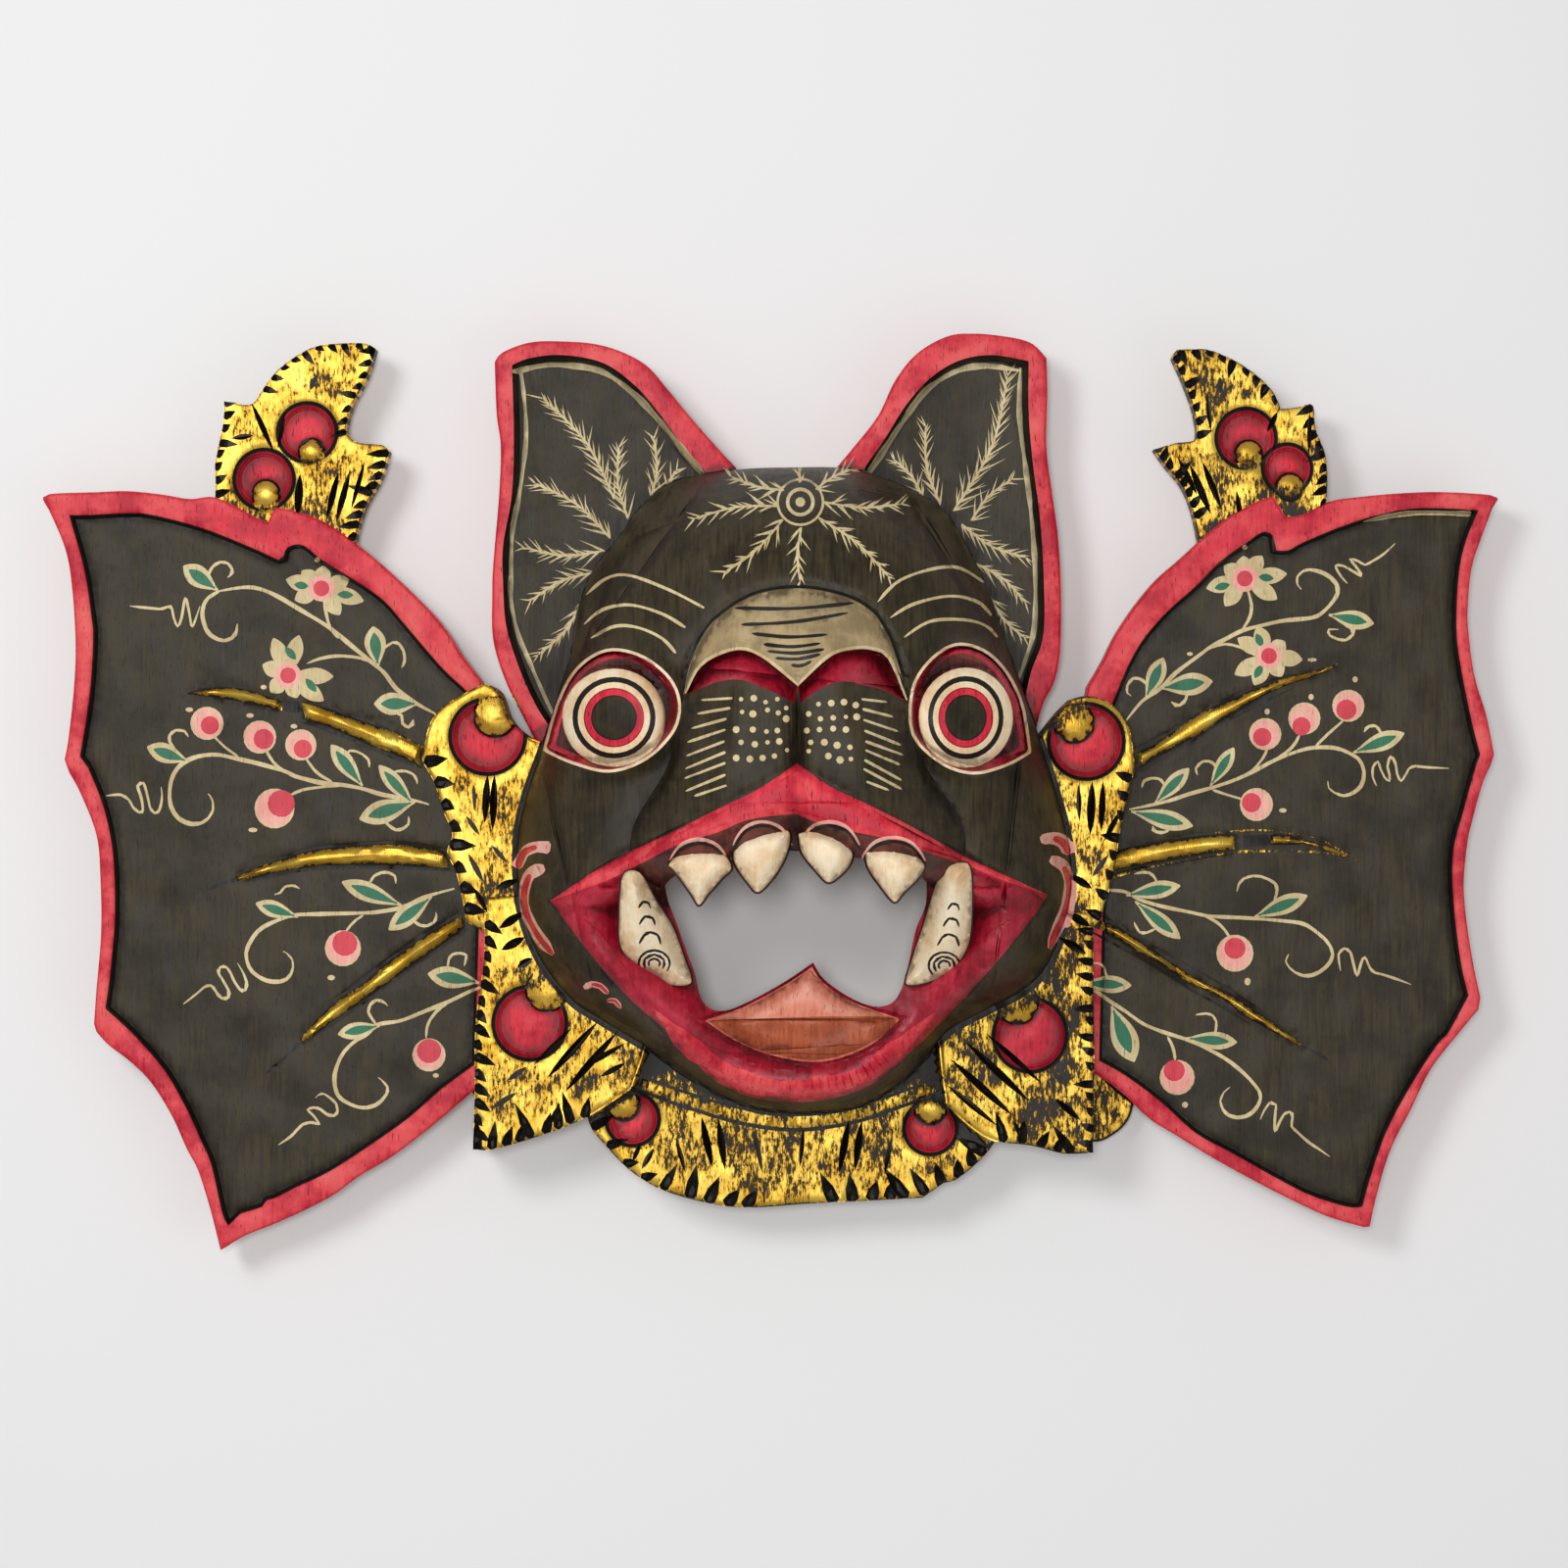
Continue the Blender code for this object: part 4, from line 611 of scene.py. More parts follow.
# Feathers: base and tip of each stem.
EAR_FEATHERS = {
    "left": [((626, 508), (553, 405)), ((640, 528), (631, 455)), ((662, 512), (667, 446)),
             ((676, 512), (690, 479)), ((622, 548), (545, 492)),
             ((616, 561), (534, 558)), ((606, 583), (541, 612)), ((594, 612), (548, 668))],
    "right": [((974, 520), (1029, 382)), ((960, 514), (945, 434)), ((942, 506), (913, 468)),
              ((992, 530), (1033, 488)), ((982, 534), (1047, 568)),
              ((996, 574), (1047, 614)), ((1010, 606), (1046, 650))],
}
BROW_FEATHERS = [((795, 516), (709, 529)), ((800, 500), (746, 486)), ((816, 492), (815, 477)),
                 ((833, 499), (868, 479)), ((841, 512), (920, 514)),
                 ((836, 528), (907, 588)), ((818, 538), (817, 593)), ((799, 530), (741, 583))]
BROW_ROUND = (817, 512)
BROW_LINES = [
    [(598, 607), (619, 590), (643, 587), (684, 602), (719, 620)],
    [(596, 637), (615, 622), (643, 617), (676, 626), (700, 640)],
    [(603, 651), (627, 639), (651, 640), (676, 651), (690, 666)],
    [(896, 614), (917, 593), (949, 581), (978, 579), (1004, 594)],
    [(909, 630), (933, 616), (970, 608), (998, 614), (1012, 628)],
    [(923, 650), (949, 634), (982, 632), (1006, 638), (1018, 650)],
]
NOSE_LINES = [((750, 620), (872, 615)), ((757, 637), (866, 625)), ((768, 646), (845, 647)),
              ((780, 657), (838, 656)), ((784, 664), (842, 662)),
              ((792, 671), (838, 667)), ((808, 678), (829, 674))]
WHISKERS = {
    "left": [((748, 712), (716, 714)), ((746, 722), (712, 728)), ((742, 733), (706, 743)),
             ((741, 744), (702, 757)), ((740, 756), (701, 771)),
             ((741, 767), (700, 784)), ((741, 778), (699, 794)), ((741, 790), (700, 807)),
             ((742, 801), (709, 812))],
    "right": [((880, 713), (906, 716)), ((881, 723), (912, 731)), ((882, 734), (917, 746)),
              ((883, 745), (920, 760)), ((884, 756), (922, 770)),
              ((884, 765), (919, 780)), ((883, 775), (921, 796)), ((882, 784), (921, 805)),
              ((885, 797), (908, 806))],
}
MUZZLE_DOTS = {
    "left": [(757, 713), (770, 712), (782, 716), (794, 713), (803, 722), (758, 726), (769, 728),
             (784, 724), (795, 727), (752, 744), (769, 744), (783, 746), (794, 745), (803, 733), (757, 757),
             (771, 759), (784, 757), (796, 756), (752, 773), (766, 774), (779, 773), (791, 771),
             (804, 765)],
    "right": [(836, 718), (849, 717), (862, 716), (874, 719), (826, 728), (838, 733), (851, 732),
              (864, 731), (875, 731), (824, 745), (837, 744), (851, 743), (864, 744), (828, 757),
              (842, 757), (855, 760), (868, 762), (826, 766), (846, 771), (858, 775), (869, 774)],
}
CHEEK_CURLS = {
    "left": [([(562, 865), (548, 864), (535, 870), (528, 886)], 12),
             ([(556, 885), (541, 892), (535, 910), (537, 931), (548, 953), (558, 966), (565, 974)], 11),
             ([(596, 1008), (604, 1004), (613, 1006), (621, 1014)], 6),
             ([(620, 1021), (628, 1021), (634, 1029)], 5)],
    "right": [([(1062, 857), (1075, 855), (1086, 860), (1091, 872)], 12),
              ([(1072, 876), (1086, 884), (1091, 903), (1087, 930), (1078, 950), (1071, 968)], 11)],
}


def loop(arcs, step=4.0):
    """Closed outline through arcs that meet in corners, sampled at a step."""
    points = []
    for number, arc in enumerate(arcs):
        curve = flowing(arc, step)
        following = arcs[(number + 1) % len(arcs)][0]
        points += curve if math.dist(arc[-1], following) > 1.0 else curve[:-1]
    return np.array(points)


def flowing(arc, step=4.0):
    """Smooth curve through points, about one step between samples."""
    padded = [arc[0]] + list(arc) + [arc[-1]]
    curve = []
    for i in range(len(arc) - 1):
        a, b, c, d = (np.array(q, dtype=float) for q in padded[i:i + 4])
        count = max(1, int(round(math.dist(b, c) / step)))
        for k in range(count):
            t = k / count
            curve.append(tuple(0.5 * (2 * b + (c - a) * t + (2 * a - 5 * b + 4 * c - d) * t * t
                                      + (3 * b - a - 3 * c + d) * t ** 3)))
    curve.append(tuple(float(v) for v in arc[-1]))
    return curve


def inside(points, shape, reach=1e9):
    """Distance in from a closed outline, negative outside it and never below -reach."""
    shape = np.asarray(shape, dtype=float)
    low, high = shape.min(0) - reach, shape.max(0) + reach
    close = np.all((points > low) & (points < high), axis=1)
    result = np.full(len(points), -min(reach, 1e6))
    x, y = points[close].T
    nearest = np.full(len(x), 1e12)
    odd = np.zeros(len(x), dtype=bool)
    for (ax, ay), (bx, by) in zip(shape, np.roll(shape, -1, axis=0)):
        dx, dy = bx - ax, by - ay
        t = np.clip(((x - ax) * dx + (y - ay) * dy) / (dx * dx + dy * dy + 1e-12), 0.0, 1.0)
        nearest = np.minimum(nearest, (x - ax - t * dx) ** 2 + (y - ay - t * dy) ** 2)
        if abs(dy) > 1e-9:
            odd ^= ((ay > y) != (by > y)) & (x < (y - ay) * dx / dy + ax)
    distance = np.sqrt(nearest)
    result[close] = np.maximum(np.where(odd, distance, -distance), -reach)
    return result


def grown(shape, amount):
    """Outline moved out by an amount along the mean normals of its sides."""
    area = np.sum(shape[:, 0] * np.roll(shape[:, 1], -1) - np.roll(shape[:, 0], -1) * shape[:, 1])
    side = np.roll(shape, -1, axis=0) - shape
    side /= np.maximum(np.linalg.norm(side, axis=1), 1e-9)[:, None]
    normal = np.column_stack([side[:, 1], -side[:, 0]]) * np.sign(area)
    mean = normal + np.roll(normal, 1, axis=0)
    mean /= np.maximum(np.linalg.norm(mean, axis=1), 0.7)[:, None]
    moved = shape + mean * amount
    clear = np.abs(inside(moved, shape, abs(amount) + 2)) > abs(amount) * 0.9
    return moved[clear] if clear.sum() > 8 else moved


def ease(t):
    t = np.clip(t, 0.0, 1.0)
    return t * t * (3.0 - 2.0 * t)


def swell(distance, radius):
    return np.sin(np.clip(distance / radius, 0.0, 1.0) * math.pi / 2)


def bump(points, centre, radius_x, radius_y):
    reach = ((points[:, 0] - centre[0]) / radius_x) ** 2 + ((points[:, 1] - centre[1]) / radius_y) ** 2
    return np.exp(-reach)


def waves(points, size, seed):
    """Soft unevenness of hand carving between -1 and 1, with a wavelength in drawing units."""
    rng = np.random.default_rng(seed)
    total = np.zeros(len(points))
    for _ in range(7):
        angle = rng.uniform(0, math.tau)
        length = size * rng.uniform(0.7, 1.6)
        turn = points @ np.array([math.cos(angle), math.sin(angle)]) * math.tau / length
        total += np.sin(turn + rng.uniform(0, math.tau))
    return total / 4.0


def worn_edge(distance, radius=EDGE_ROUND / UNIT):
    """Drop in metres of a rounded edge at a distance in from it."""
    share = np.clip(1.0 - distance / radius, 0.0, 1.0)
    return radius * UNIT * (1.0 - np.sqrt(1.0 - 0.98 * share ** 2))


def circle(centre, radius, sides=None, radius_y=None):
    sides = sides or max(10, int(radius * 1.1))
    angles = np.arange(sides) * math.tau / sides
    across, along = radius * np.cos(angles), (radius_y or radius) * np.sin(angles)
    return np.column_stack([centre[0] + across, centre[1] + along])


RNG = np.random.default_rng(SEED)


def stroke(points, width, root=0.35, tip=0.25, wobble=0.12):
    """One brush stroke as a row of short outlines, narrower at its ends."""
    line = np.array(flowing(points))
    ahead = np.gradient(line, axis=0)
    ahead /= np.maximum(np.linalg.norm(ahead, axis=1), 1e-9)[:, None]
    across = np.column_stack([-ahead[:, 1], ahead[:, 0]])
    run = np.linspace(0, 1, len(line))
    half = width / 2 * np.minimum(1, root + run / 0.12) * np.minimum(1, tip + (1 - run) / 0.16)
    phase = RNG.uniform(0, math.tau, 2)
    slow, quick = (np.sin(run * len(line) * rate + start) for rate, start in zip((0.35, 0.9), phase))
    half *= 1 + wobble * (slow + 0.5 * quick)
    left, right = line + across * half[:, None], line - across * half[:, None]
    pieces = []
    for i in range(0, len(line) - 1, 2):
        j = min(i + 3, len(line))
        corners = np.vstack([left[i:j], right[i:j]])
        pieces.append(corners[convex_hull_2d([Vector(q) for q in corners])])
    return pieces


def lens(start, end, width):
    """Pointed cut from start to end."""
    start, end = np.array(start, dtype=float), np.array(end, dtype=float)
    ahead = (end - start) / np.linalg.norm(end - start)
    across = np.array([-ahead[1], ahead[0]]) * width / 2
    run = np.linspace(0, 1, 7)
    half = np.sin(run * math.pi) ** 0.8
    line = start + (end - start) * run[:, None]
    left = line + across * half[:, None]
    right = line - across * half[:, None]
    return np.vstack([left, right[1:-1][::-1]])


def teardrop(base, tip, width):
    """Leaf or petal, broadest nearer to its base."""
    base, tip = np.array(base, dtype=float), np.array(tip, dtype=float)
    ahead = tip - base
    across = np.array([-ahead[1], ahead[0]]) / np.linalg.norm(ahead)
    run = np.linspace(0, 1, 12)
    half = width / 2 * np.sin(math.pi * run ** 1.35) ** 0.75
    half[-1] = 0.8
    half[0] = 1.0
    line = base + ahead * run[:, None]
    return np.vstack([line + across * half[:, None], (line - across * half[:, None])[::-1]])


def add(tree, kind, links=None, **settings):
    """Add a node, set its properties, and give each input a value or a link."""
    node = tree.nodes.new(kind)
    for name, value in settings.items():
        setattr(node, name, value)
    for key, value in (links or {}).items():
        if isinstance(value, bpy.types.NodeSocket):
            tree.links.new(value, node.inputs[key])
        else:
            node.inputs[key].default_value = value
    return node


def place(name, data):
    """New object in the scene, at the origin."""
    obj = bpy.data.objects.new(name, data)
    bpy.context.collection.objects.link(obj)
    return obj


def marks_tree():
    """Cuts or brush marks that follow a path: a pointed mark at each pitch, turned off the path."""
    tree = bpy.data.node_groups.new("marks_along_path", "GeometryNodeTree")
    face = tree.interface
    face.new_socket("Path", in_out="INPUT", socket_type="NodeSocketGeometry")
    for name, value in (("Pitch", 10.0), ("Length", 20.0), ("Width", 3.0), ("Lean", 0.5),
                        ("End Share", 0.5),
                        ("Both Sides", 0.0), ("Unevenness", 0.15)):
        face.new_socket(name, in_out="INPUT", socket_type="NodeSocketFloat").default_value = value
    face.new_socket("Seed", in_out="INPUT", socket_type="NodeSocketInt").default_value = SEED
    face.new_socket("Paint", in_out="INPUT", socket_type="NodeSocketMaterial")
    face.new_socket("Marks", in_out="OUTPUT", socket_type="NodeSocketGeometry")
    given = add(tree, "NodeGroupInput").outputs
    path = add(tree, "GeometryNodeResampleCurve", {"Curve": given["Path"], "Length": given["Pitch"]},
               mode="LENGTH")
    points = add(tree, "GeometryNodeCurveToPoints", {"Curve": path.outputs[0]}, mode="EVALUATED")
    index = add(tree, "GeometryNodeInputIndex")
    count = add(tree, "GeometryNodeAttributeDomainSize", {0: points.outputs["Points"]},
                component="POINTCLOUD")
    share = add(tree, "ShaderNodeMath", {0: index.outputs[0], 1: count.outputs[0]}, operation="DIVIDE")
    odd = add(tree, "ShaderNodeMath", {0: index.outputs[0], 1: 2.0}, operation="MODULO")
    both = add(tree, "ShaderNodeMath", {0: odd.outputs[0], 1: given["Both Sides"]}, operation="MULTIPLY")
    side = add(tree, "ShaderNodeMath", {0: both.outputs[0], 1: -2.0, 2: 1.0}, operation="MULTIPLY_ADD")
    uneven_low = add(tree, "ShaderNodeMath", {0: 1.0, 1: given["Unevenness"]}, operation="SUBTRACT")
    uneven_high = add(tree, "ShaderNodeMath", {0: 1.0, 1: given["Unevenness"]}, operation="ADD")
    chance = add(tree, "FunctionNodeRandomValue",
                 {"Min": uneven_low.outputs[0], "Max": uneven_high.outputs[0],
                                                   "Seed": given["Seed"]}, data_type="FLOAT")
    for key, value in ((2, uneven_low.outputs[0]), (3, uneven_high.outputs[0])):
        tree.links.new(value, chance.inputs[key])
    random = next(s for s in chance.outputs if s.enabled)
    lean = add(tree, "ShaderNodeMath", {0: given["Lean"], 1: side.outputs[0]}, operation="MULTIPLY")
    lean = add(tree, "ShaderNodeMath", {0: lean.outputs[0], 1: random}, operation="MULTIPLY")
    tangent = add(tree, "ShaderNodeSeparateXYZ", {0: points.outputs["Tangent"]})
    heading = add(tree, "ShaderNodeMath", {0: tangent.outputs[1], 1: tangent.outputs[0]},
                  operation="ARCTAN2")
    turn = add(tree, "ShaderNodeMath", {0: heading.outputs[0], 1: lean.outputs[0]}, operation="ADD")
    shrink = add(tree, "ShaderNodeMapRange",
                 {"Value": share.outputs[0], "To Min": 1.0, "To Max": given["End Share"]})
    long = add(tree, "ShaderNodeMath", {0: given["Length"], 1: shrink.outputs[0]}, operation="MULTIPLY")
    long = add(tree, "ShaderNodeMath", {0: long.outputs[0], 1: random}, operation="MULTIPLY")
    size = add(tree, "ShaderNodeCombineXYZ", {"X": long.outputs[0], "Y": given["Width"], "Z": 1.0})
    angle = add(tree, "ShaderNodeCombineXYZ", {"Z": turn.outputs[0]})
    mark = add(tree, "GeometryNodeMeshCircle", {"Vertices": 8, "Radius": 0.5}, fill_type="NGON")
    mark = add(tree, "GeometryNodeTransform", {"Geometry": mark.outputs[0], "Translation": (0.45, 0, 0)})
    corner = add(tree, "ShaderNodeSeparateXYZ", {0: add(tree, "GeometryNodeInputPosition").outputs[0]})
    taper = add(tree, "ShaderNodeMath", {0: 1.08, 1: corner.outputs[0]}, operation="SUBTRACT")
    taper = add(tree, "ShaderNodeMath", {0: taper.outputs[0], 1: corner.outputs[1]}, operation="MULTIPLY")
    wedge = add(tree, "ShaderNodeCombineXYZ", {"X": corner.outputs[0], "Y": taper.outputs[0]})
    mark = add(tree, "GeometryNodeSetPosition", {"Geometry": mark.outputs[0], "Position": wedge.outputs[0]})
    marks = add(tree, "GeometryNodeInstanceOnPoints",
                {"Points": points.outputs["Points"], "Instance": mark.outputs[0],
                                                       "Rotation": angle.outputs[0],
                                                       "Scale": size.outputs[0]})
    real = add(tree, "GeometryNodeRealizeInstances", {"Geometry": marks.outputs[0]})
    done = add(tree, "GeometryNodeSetMaterial", {"Geometry": real.outputs[0], "Material": given["Paint"]})
    add(tree, "NodeGroupOutput", {"Marks": done.outputs[0]})
    return tree


def marks(tree, path, paint, **sizes):
    """Outlines of the marks along one path, taken from the evaluated nodes."""
    curve = bpy.data.curves.new("path", "CURVE")
    curve.dimensions = "3D"
    line = curve.splines.new("POLY")
    line.points.add(len(path) - 1)
    for point, (x, y) in zip(line.points, path):
        point.co = (x, y, 0.0, 1.0)
    guide = place("path", curve)
    modifier = guide.modifiers.new("marks", "NODES")
    modifier.node_group = tree
    identifiers = {s.name: s.identifier for s in tree.interface.items_tree if s.in_out == "INPUT"}
    modifier[identifiers["Paint"]] = paint
    for name, value in sizes.items():
        modifier[identifiers[name.replace("_", " ").title()]] = value
    bpy.context.view_layer.update()
    evaluated = guide.evaluated_get(bpy.context.evaluated_depsgraph_get())
    mesh = bpy.data.meshes.new_from_object(evaluated)
    flat = np.zeros(len(mesh.vertices) * 3)
    mesh.vertices.foreach_get("co", flat)
    guide.modifiers.clear()
    bpy.data.objects.remove(guide)
    bpy.data.meshes.remove(mesh)
    return list(flat.reshape(-1, 8, 3)[:, :, :2])


def turned(shape):
    """Outline that starts at its leftmost point and has its inside on the left."""
    shape = np.roll(shape, -int(shape[:, 0].argmin()), axis=0)
    after, before = shape[1] - shape[0], shape[-1] - shape[0]
    if after[0] * before[1] - after[1] * before[0] < 0:
        shape = np.roll(shape[::-1], 1, axis=0)
    return shape


def honeycomb(low, high, spacing):
    """Even points over a rectangle, shifted a little so that no row shows."""
    rows = np.arange(low[1], high[1], spacing * 0.866)
    grid = []
    for number, y in enumerate(rows):
        xs = np.arange(low[0] + (number % 2) * spacing / 2, high[0], spacing)
        grid.append(np.column_stack([xs, np.full(len(xs), y)]))
    grid = np.vstack(grid)
    return grid + np.random.default_rng(SEED).uniform(-0.16, 0.16, grid.shape) * spacing


def in_wood(points, domain, holes, margin):
    """The points that lie inside the outlines and clear of the holes, by a margin."""
    kept = np.zeros(len(points), dtype=bool)
    for shape in domain:
        kept |= inside(points, shape, 60) > margin
    for shape in holes:
        kept &= inside(points, shape, 60) < -margin
    return points[kept]


def away_from(points, taken, clearance):
    tree = KDTree(len(taken))
    for i, (x, y) in enumerate(taken):
        tree.insert((x, y, 0.0), i)
    tree.balance()
    return points[np.array([tree.find((x, y, 0.0))[2] > clearance for x, y in points], dtype=bool)]


def subdivided(shape, step, closed=True):
    """Outline with points added so that no side is much longer than a step."""
    ends = np.roll(shape, -1, axis=0) if closed else shape[1:]
    starts = shape if closed else shape[:-1]
    points = []
    for a, b in zip(starts, ends):
        count = max(1, int(math.dist(a, b) / step + 0.5))
        points += [a + (b - a) * k / count for k in range(count)]
    if not closed:
        points.append(shape[-1])
    return np.array(points)


def carved_shell(domain, holes, paints, rings, front, back, spacing, back_spacing=18.0, back_rings=(),
                 seen=None,
                 dense=None):
    """Closed shell: a front surface cut along every painted outline, a back and walls.

    domain and holes are outlines, paints are (outline, slot) in the order of painting, rings and
    back_rings are outlines or lines that only add points; front and back give heights in metres.
    seen draws high points in towards the middle, as the photograph's camera foreshortens them, and
    dense is an outline with the finer spacing inside it.
    """
    points, edges, faces, tags = [], [], [], []

    def lay(shape, closed, tag):
        first = sum(len(p) for p in points)
        shape = np.round(np.asarray(shape, dtype=float), 2)
        if closed and tag is not None:
            shape = turned(shape)
        points.append(shape)
        numbers = list(range(first, first + len(shape)))
        if closed and tag is not None:
            faces.append(numbers)
            tags.append(tag)
        else:
            edges.extend(zip(numbers, numbers[1:] + numbers[:1] if closed else numbers[1:]))

    for shape in domain:
        lay(subdivided(shape, 4.0), True, "domain")
    for shape in holes:
        lay(subdivided(shape, 4.0), True, "hole")
    for shape, slot in paints:
        lay(shape, True, slot)
    for shape, closed in rings:
        lay(shape, closed, None)
    fixed = np.vstack(points)
    low, high = np.vstack(domain).min(0), np.vstack(domain).max(0)
    grid = honeycomb(low, high, spacing)
    if dense is not None:
        fine_shape, fine_spacing = dense
        fine = honeycomb(fine_shape.min(0), fine_shape.max(0), fine_spacing)
        grid = np.vstack([grid[inside(grid, fine_shape, 20) < 0], fine[inside(fine, fine_shape, 20) >= 0]])
    grid = away_from(in_wood(grid, domain, holes, spacing * 0.35), fixed, spacing * 0.42)
    flat = [Vector(p) for p in np.vstack([fixed, grid])]
    xy, _, triangles, _, _, origins = delaunay_2d_cdt(flat, edges, faces, 1, 1e-3, True)
    xy = np.array([(p.x, p.y) for p in xy])
    corners, slots = [], []
    for triangle, origin in zip(triangles, origins):
        names = [tags[o] for o in origin]
        if "domain" not in names or "hole" in names:
            continue
        top = max((o for o in origin if isinstance(tags[o], int)), default=None)
        corners.append(triangle)
        slots.append(0 if top is None else tags[top])
    corners, slots = np.array(corners), np.array(slots)
    used, corners = np.unique(corners, return_inverse=True)
    corners = corners.reshape(-1, 3)[:, ::-1]
    xy = xy[used]
    z = front(xy)

    sides = {}
    for triangle, slot in zip(corners, slots):
        for u, v in zip(triangle, np.roll(triangle, -1)):
            sides[(u, v)] = slot
    rim = [(u, v) for (u, v) in sides if (v, u) not in sides]
    rim_slots = [sides[e] for e in rim]
    numbers = sorted({u for e in rim for u in e})
    place_in_rim = {u: i for i, u in enumerate(numbers)}
    rim_xy = xy[numbers]
    extra = [in_wood(honeycomb(low, high, back_spacing), domain, holes, back_spacing * 0.5)]
    extra += [in_wood(shape, domain, holes, 1.2) for shape in back_rings]
    flat = [Vector(p) for p in np.vstack([rim_xy] + extra)]
    joined = [(place_in_rim[u], place_in_rim[v]) for u, v in rim]
    back_xy, _, back_triangles, origin_points, _, _ = delaunay_2d_cdt(flat, joined, [], 1, 1e-4, True)
    back_xy = np.array([(p.x, p.y) for p in back_xy])
    back_number = {}
    for i, origin in enumerate(origin_points):
        for o in origin:
            if o < len(numbers):
                back_number[numbers[o]] = i
    back_triangles = reached(back_triangles, [(back_number[v], back_number[u]) for u, v in rim])
    walls, wall_slots = [], []
    for (u, v), slot in zip(rim, rim_slots):
        p, q = back_number[u] + len(xy), back_number[v] + len(xy)
        walls.append((v, u, p))
        walls.append((v, p, q))
        wall_slots += [slot, slot]
    all_xy = np.vstack([xy, back_xy])
    all_z = np.concatenate([z, back(back_xy)])
    shade = np.concatenate([cavity(xy, z, corners), np.zeros(len(back_xy))])
    nearer = np.ones(len(all_xy)) if seen is None else seen(all_xy, all_z)
    co = np.column_stack([(all_xy[:, 0] - DRAWN_CENTRE[0]) * UNIT * nearer,
                          (DRAWN_CENTRE[1] - all_xy[:, 1]) * UNIT * nearer, all_z])
    co = np.clip(co, np.array(solid_box[0]) + 1e-5, np.array(solid_box[1]) - 1e-5)
    triangles = np.vstack([corners, np.array(walls), back_triangles + len(xy)])
    slots = np.concatenate([slots, wall_slots, np.full(len(back_triangles), WOOD)])
    return welded(co, triangles, slots.astype(int), shade)


def reached(triangles, rim):
    """The back's triangles, found by walking in from its rim and never across it."""
    triangles = [tuple(triangle) for triangle in triangles]
    owner = {(t[k], t[k - 2]): i for i, t in enumerate(triangles) for k in range(3)}
    fence = set(rim)
    waiting = [owner[edge] for edge in rim if edge in owner]
    kept = set()
    while waiting:
        i = waiting.pop()
        if i in kept:
            continue
        kept.add(i)
        for k in range(3):
            edge = (triangles[i][k], triangles[i][k - 2])
            if edge not in fence and edge[::-1] in owner:
                waiting.append(owner[edge[::-1]])
    return np.array([triangles[i] for i in sorted(kept)])


def welded(co, triangles, slots, shade):
    """Join points that lie on each other and drop the faces that this closes up."""
    _, first, number = np.unique(np.round(co, 7), axis=0, return_index=True, return_inverse=True)
    triangles = number.reshape(-1)[triangles]
    whole = (triangles != np.roll(triangles, 1, axis=1)).all(1)
    return co[first], triangles[whole], slots[whole], shade[first]


def cavity(xy, z, corners):
    """How far each point lies below its surroundings, as a share of half a millimetre."""
    pairs = np.vstack([corners[:, [0, 1]], corners[:, [1, 2]], corners[:, [2, 0]]])
    weight = 1.0 / (np.linalg.norm(xy[pairs[:, 0]] - xy[pairs[:, 1]], axis=1) + 0.3)
    total = np.zeros(len(xy))
    np.add.at(total, pairs[:, 0], weight)
    np.add.at(total, pairs[:, 1], weight)
    smooth = z.copy()
    for _ in range(9):
        mean = np.zeros(len(xy))
        np.add.at(mean, pairs[:, 0], weight * smooth[pairs[:, 1]])
        np.add.at(mean, pairs[:, 1], weight * smooth[pairs[:, 0]])
        smooth = 0.4 * smooth + 0.6 * mean / total
    return np.clip((smooth - z) / 0.0005, -1.5, 1.5)


def build(name, shells, finishes, gold_darkening):
    """One object from closed shells, with its attributes and shading."""
    starts = np.cumsum([0] + [len(shell[0]) for shell in shells])
    co = np.vstack([shell[0] for shell in shells])
    triangles = np.vstack([shell[1] + start for shell, start in zip(shells, starts)])
    slots = np.concatenate([shell[2] for shell in shells])
    shade = np.concatenate([shell[3] for shell in shells])
    mesh = bpy.data.meshes.new(name)
    mesh.vertices.add(len(co))
    mesh.vertices.foreach_set("co", co.astype(np.float32).ravel())
    mesh.loops.add(len(triangles) * 3)
    mesh.loops.foreach_set("vertex_index", triangles.astype(np.int32).ravel())
    mesh.polygons.add(len(triangles))
    mesh.polygons.foreach_set("loop_start", np.arange(len(triangles), dtype=np.int32) * 3)
    mesh.update(calc_edges=True)
    used = sorted(set(slots.tolist()))
    for slot in used:
        mesh.materials.append(finishes[slot])
    mesh.polygons.foreach_set("material_index", np.searchsorted(used, slots).astype(np.int32))
    mesh.attributes.new("hollow", "FLOAT", "POINT").data.foreach_set("value", shade.astype(np.float32))
    mesh.attributes.new("gold_darkening", "FLOAT", "POINT").data.foreach_set("value", gold_darkening(co).astype(np.float32))
    mesh.shade_smooth()
    mesh.set_sharp_from_angle(angle=math.radians(SHARP_ANGLE))
    print(name, len(triangles), "triangles")
    return place(name, mesh)


def linear(code):
    channels = [int(code[i:i + 2], 16) / 255 for i in (1, 3, 5)]
    return tuple(v / 12.92 if v <= 0.04045 else ((v + 0.055) / 1.055) ** 2.4 for v in channels) + (1.0,)


def empty_material(name):
    material = bpy.data.materials.new(name)
    material.use_nodes = True
    material.node_tree.nodes.clear()
    return material, material.node_tree


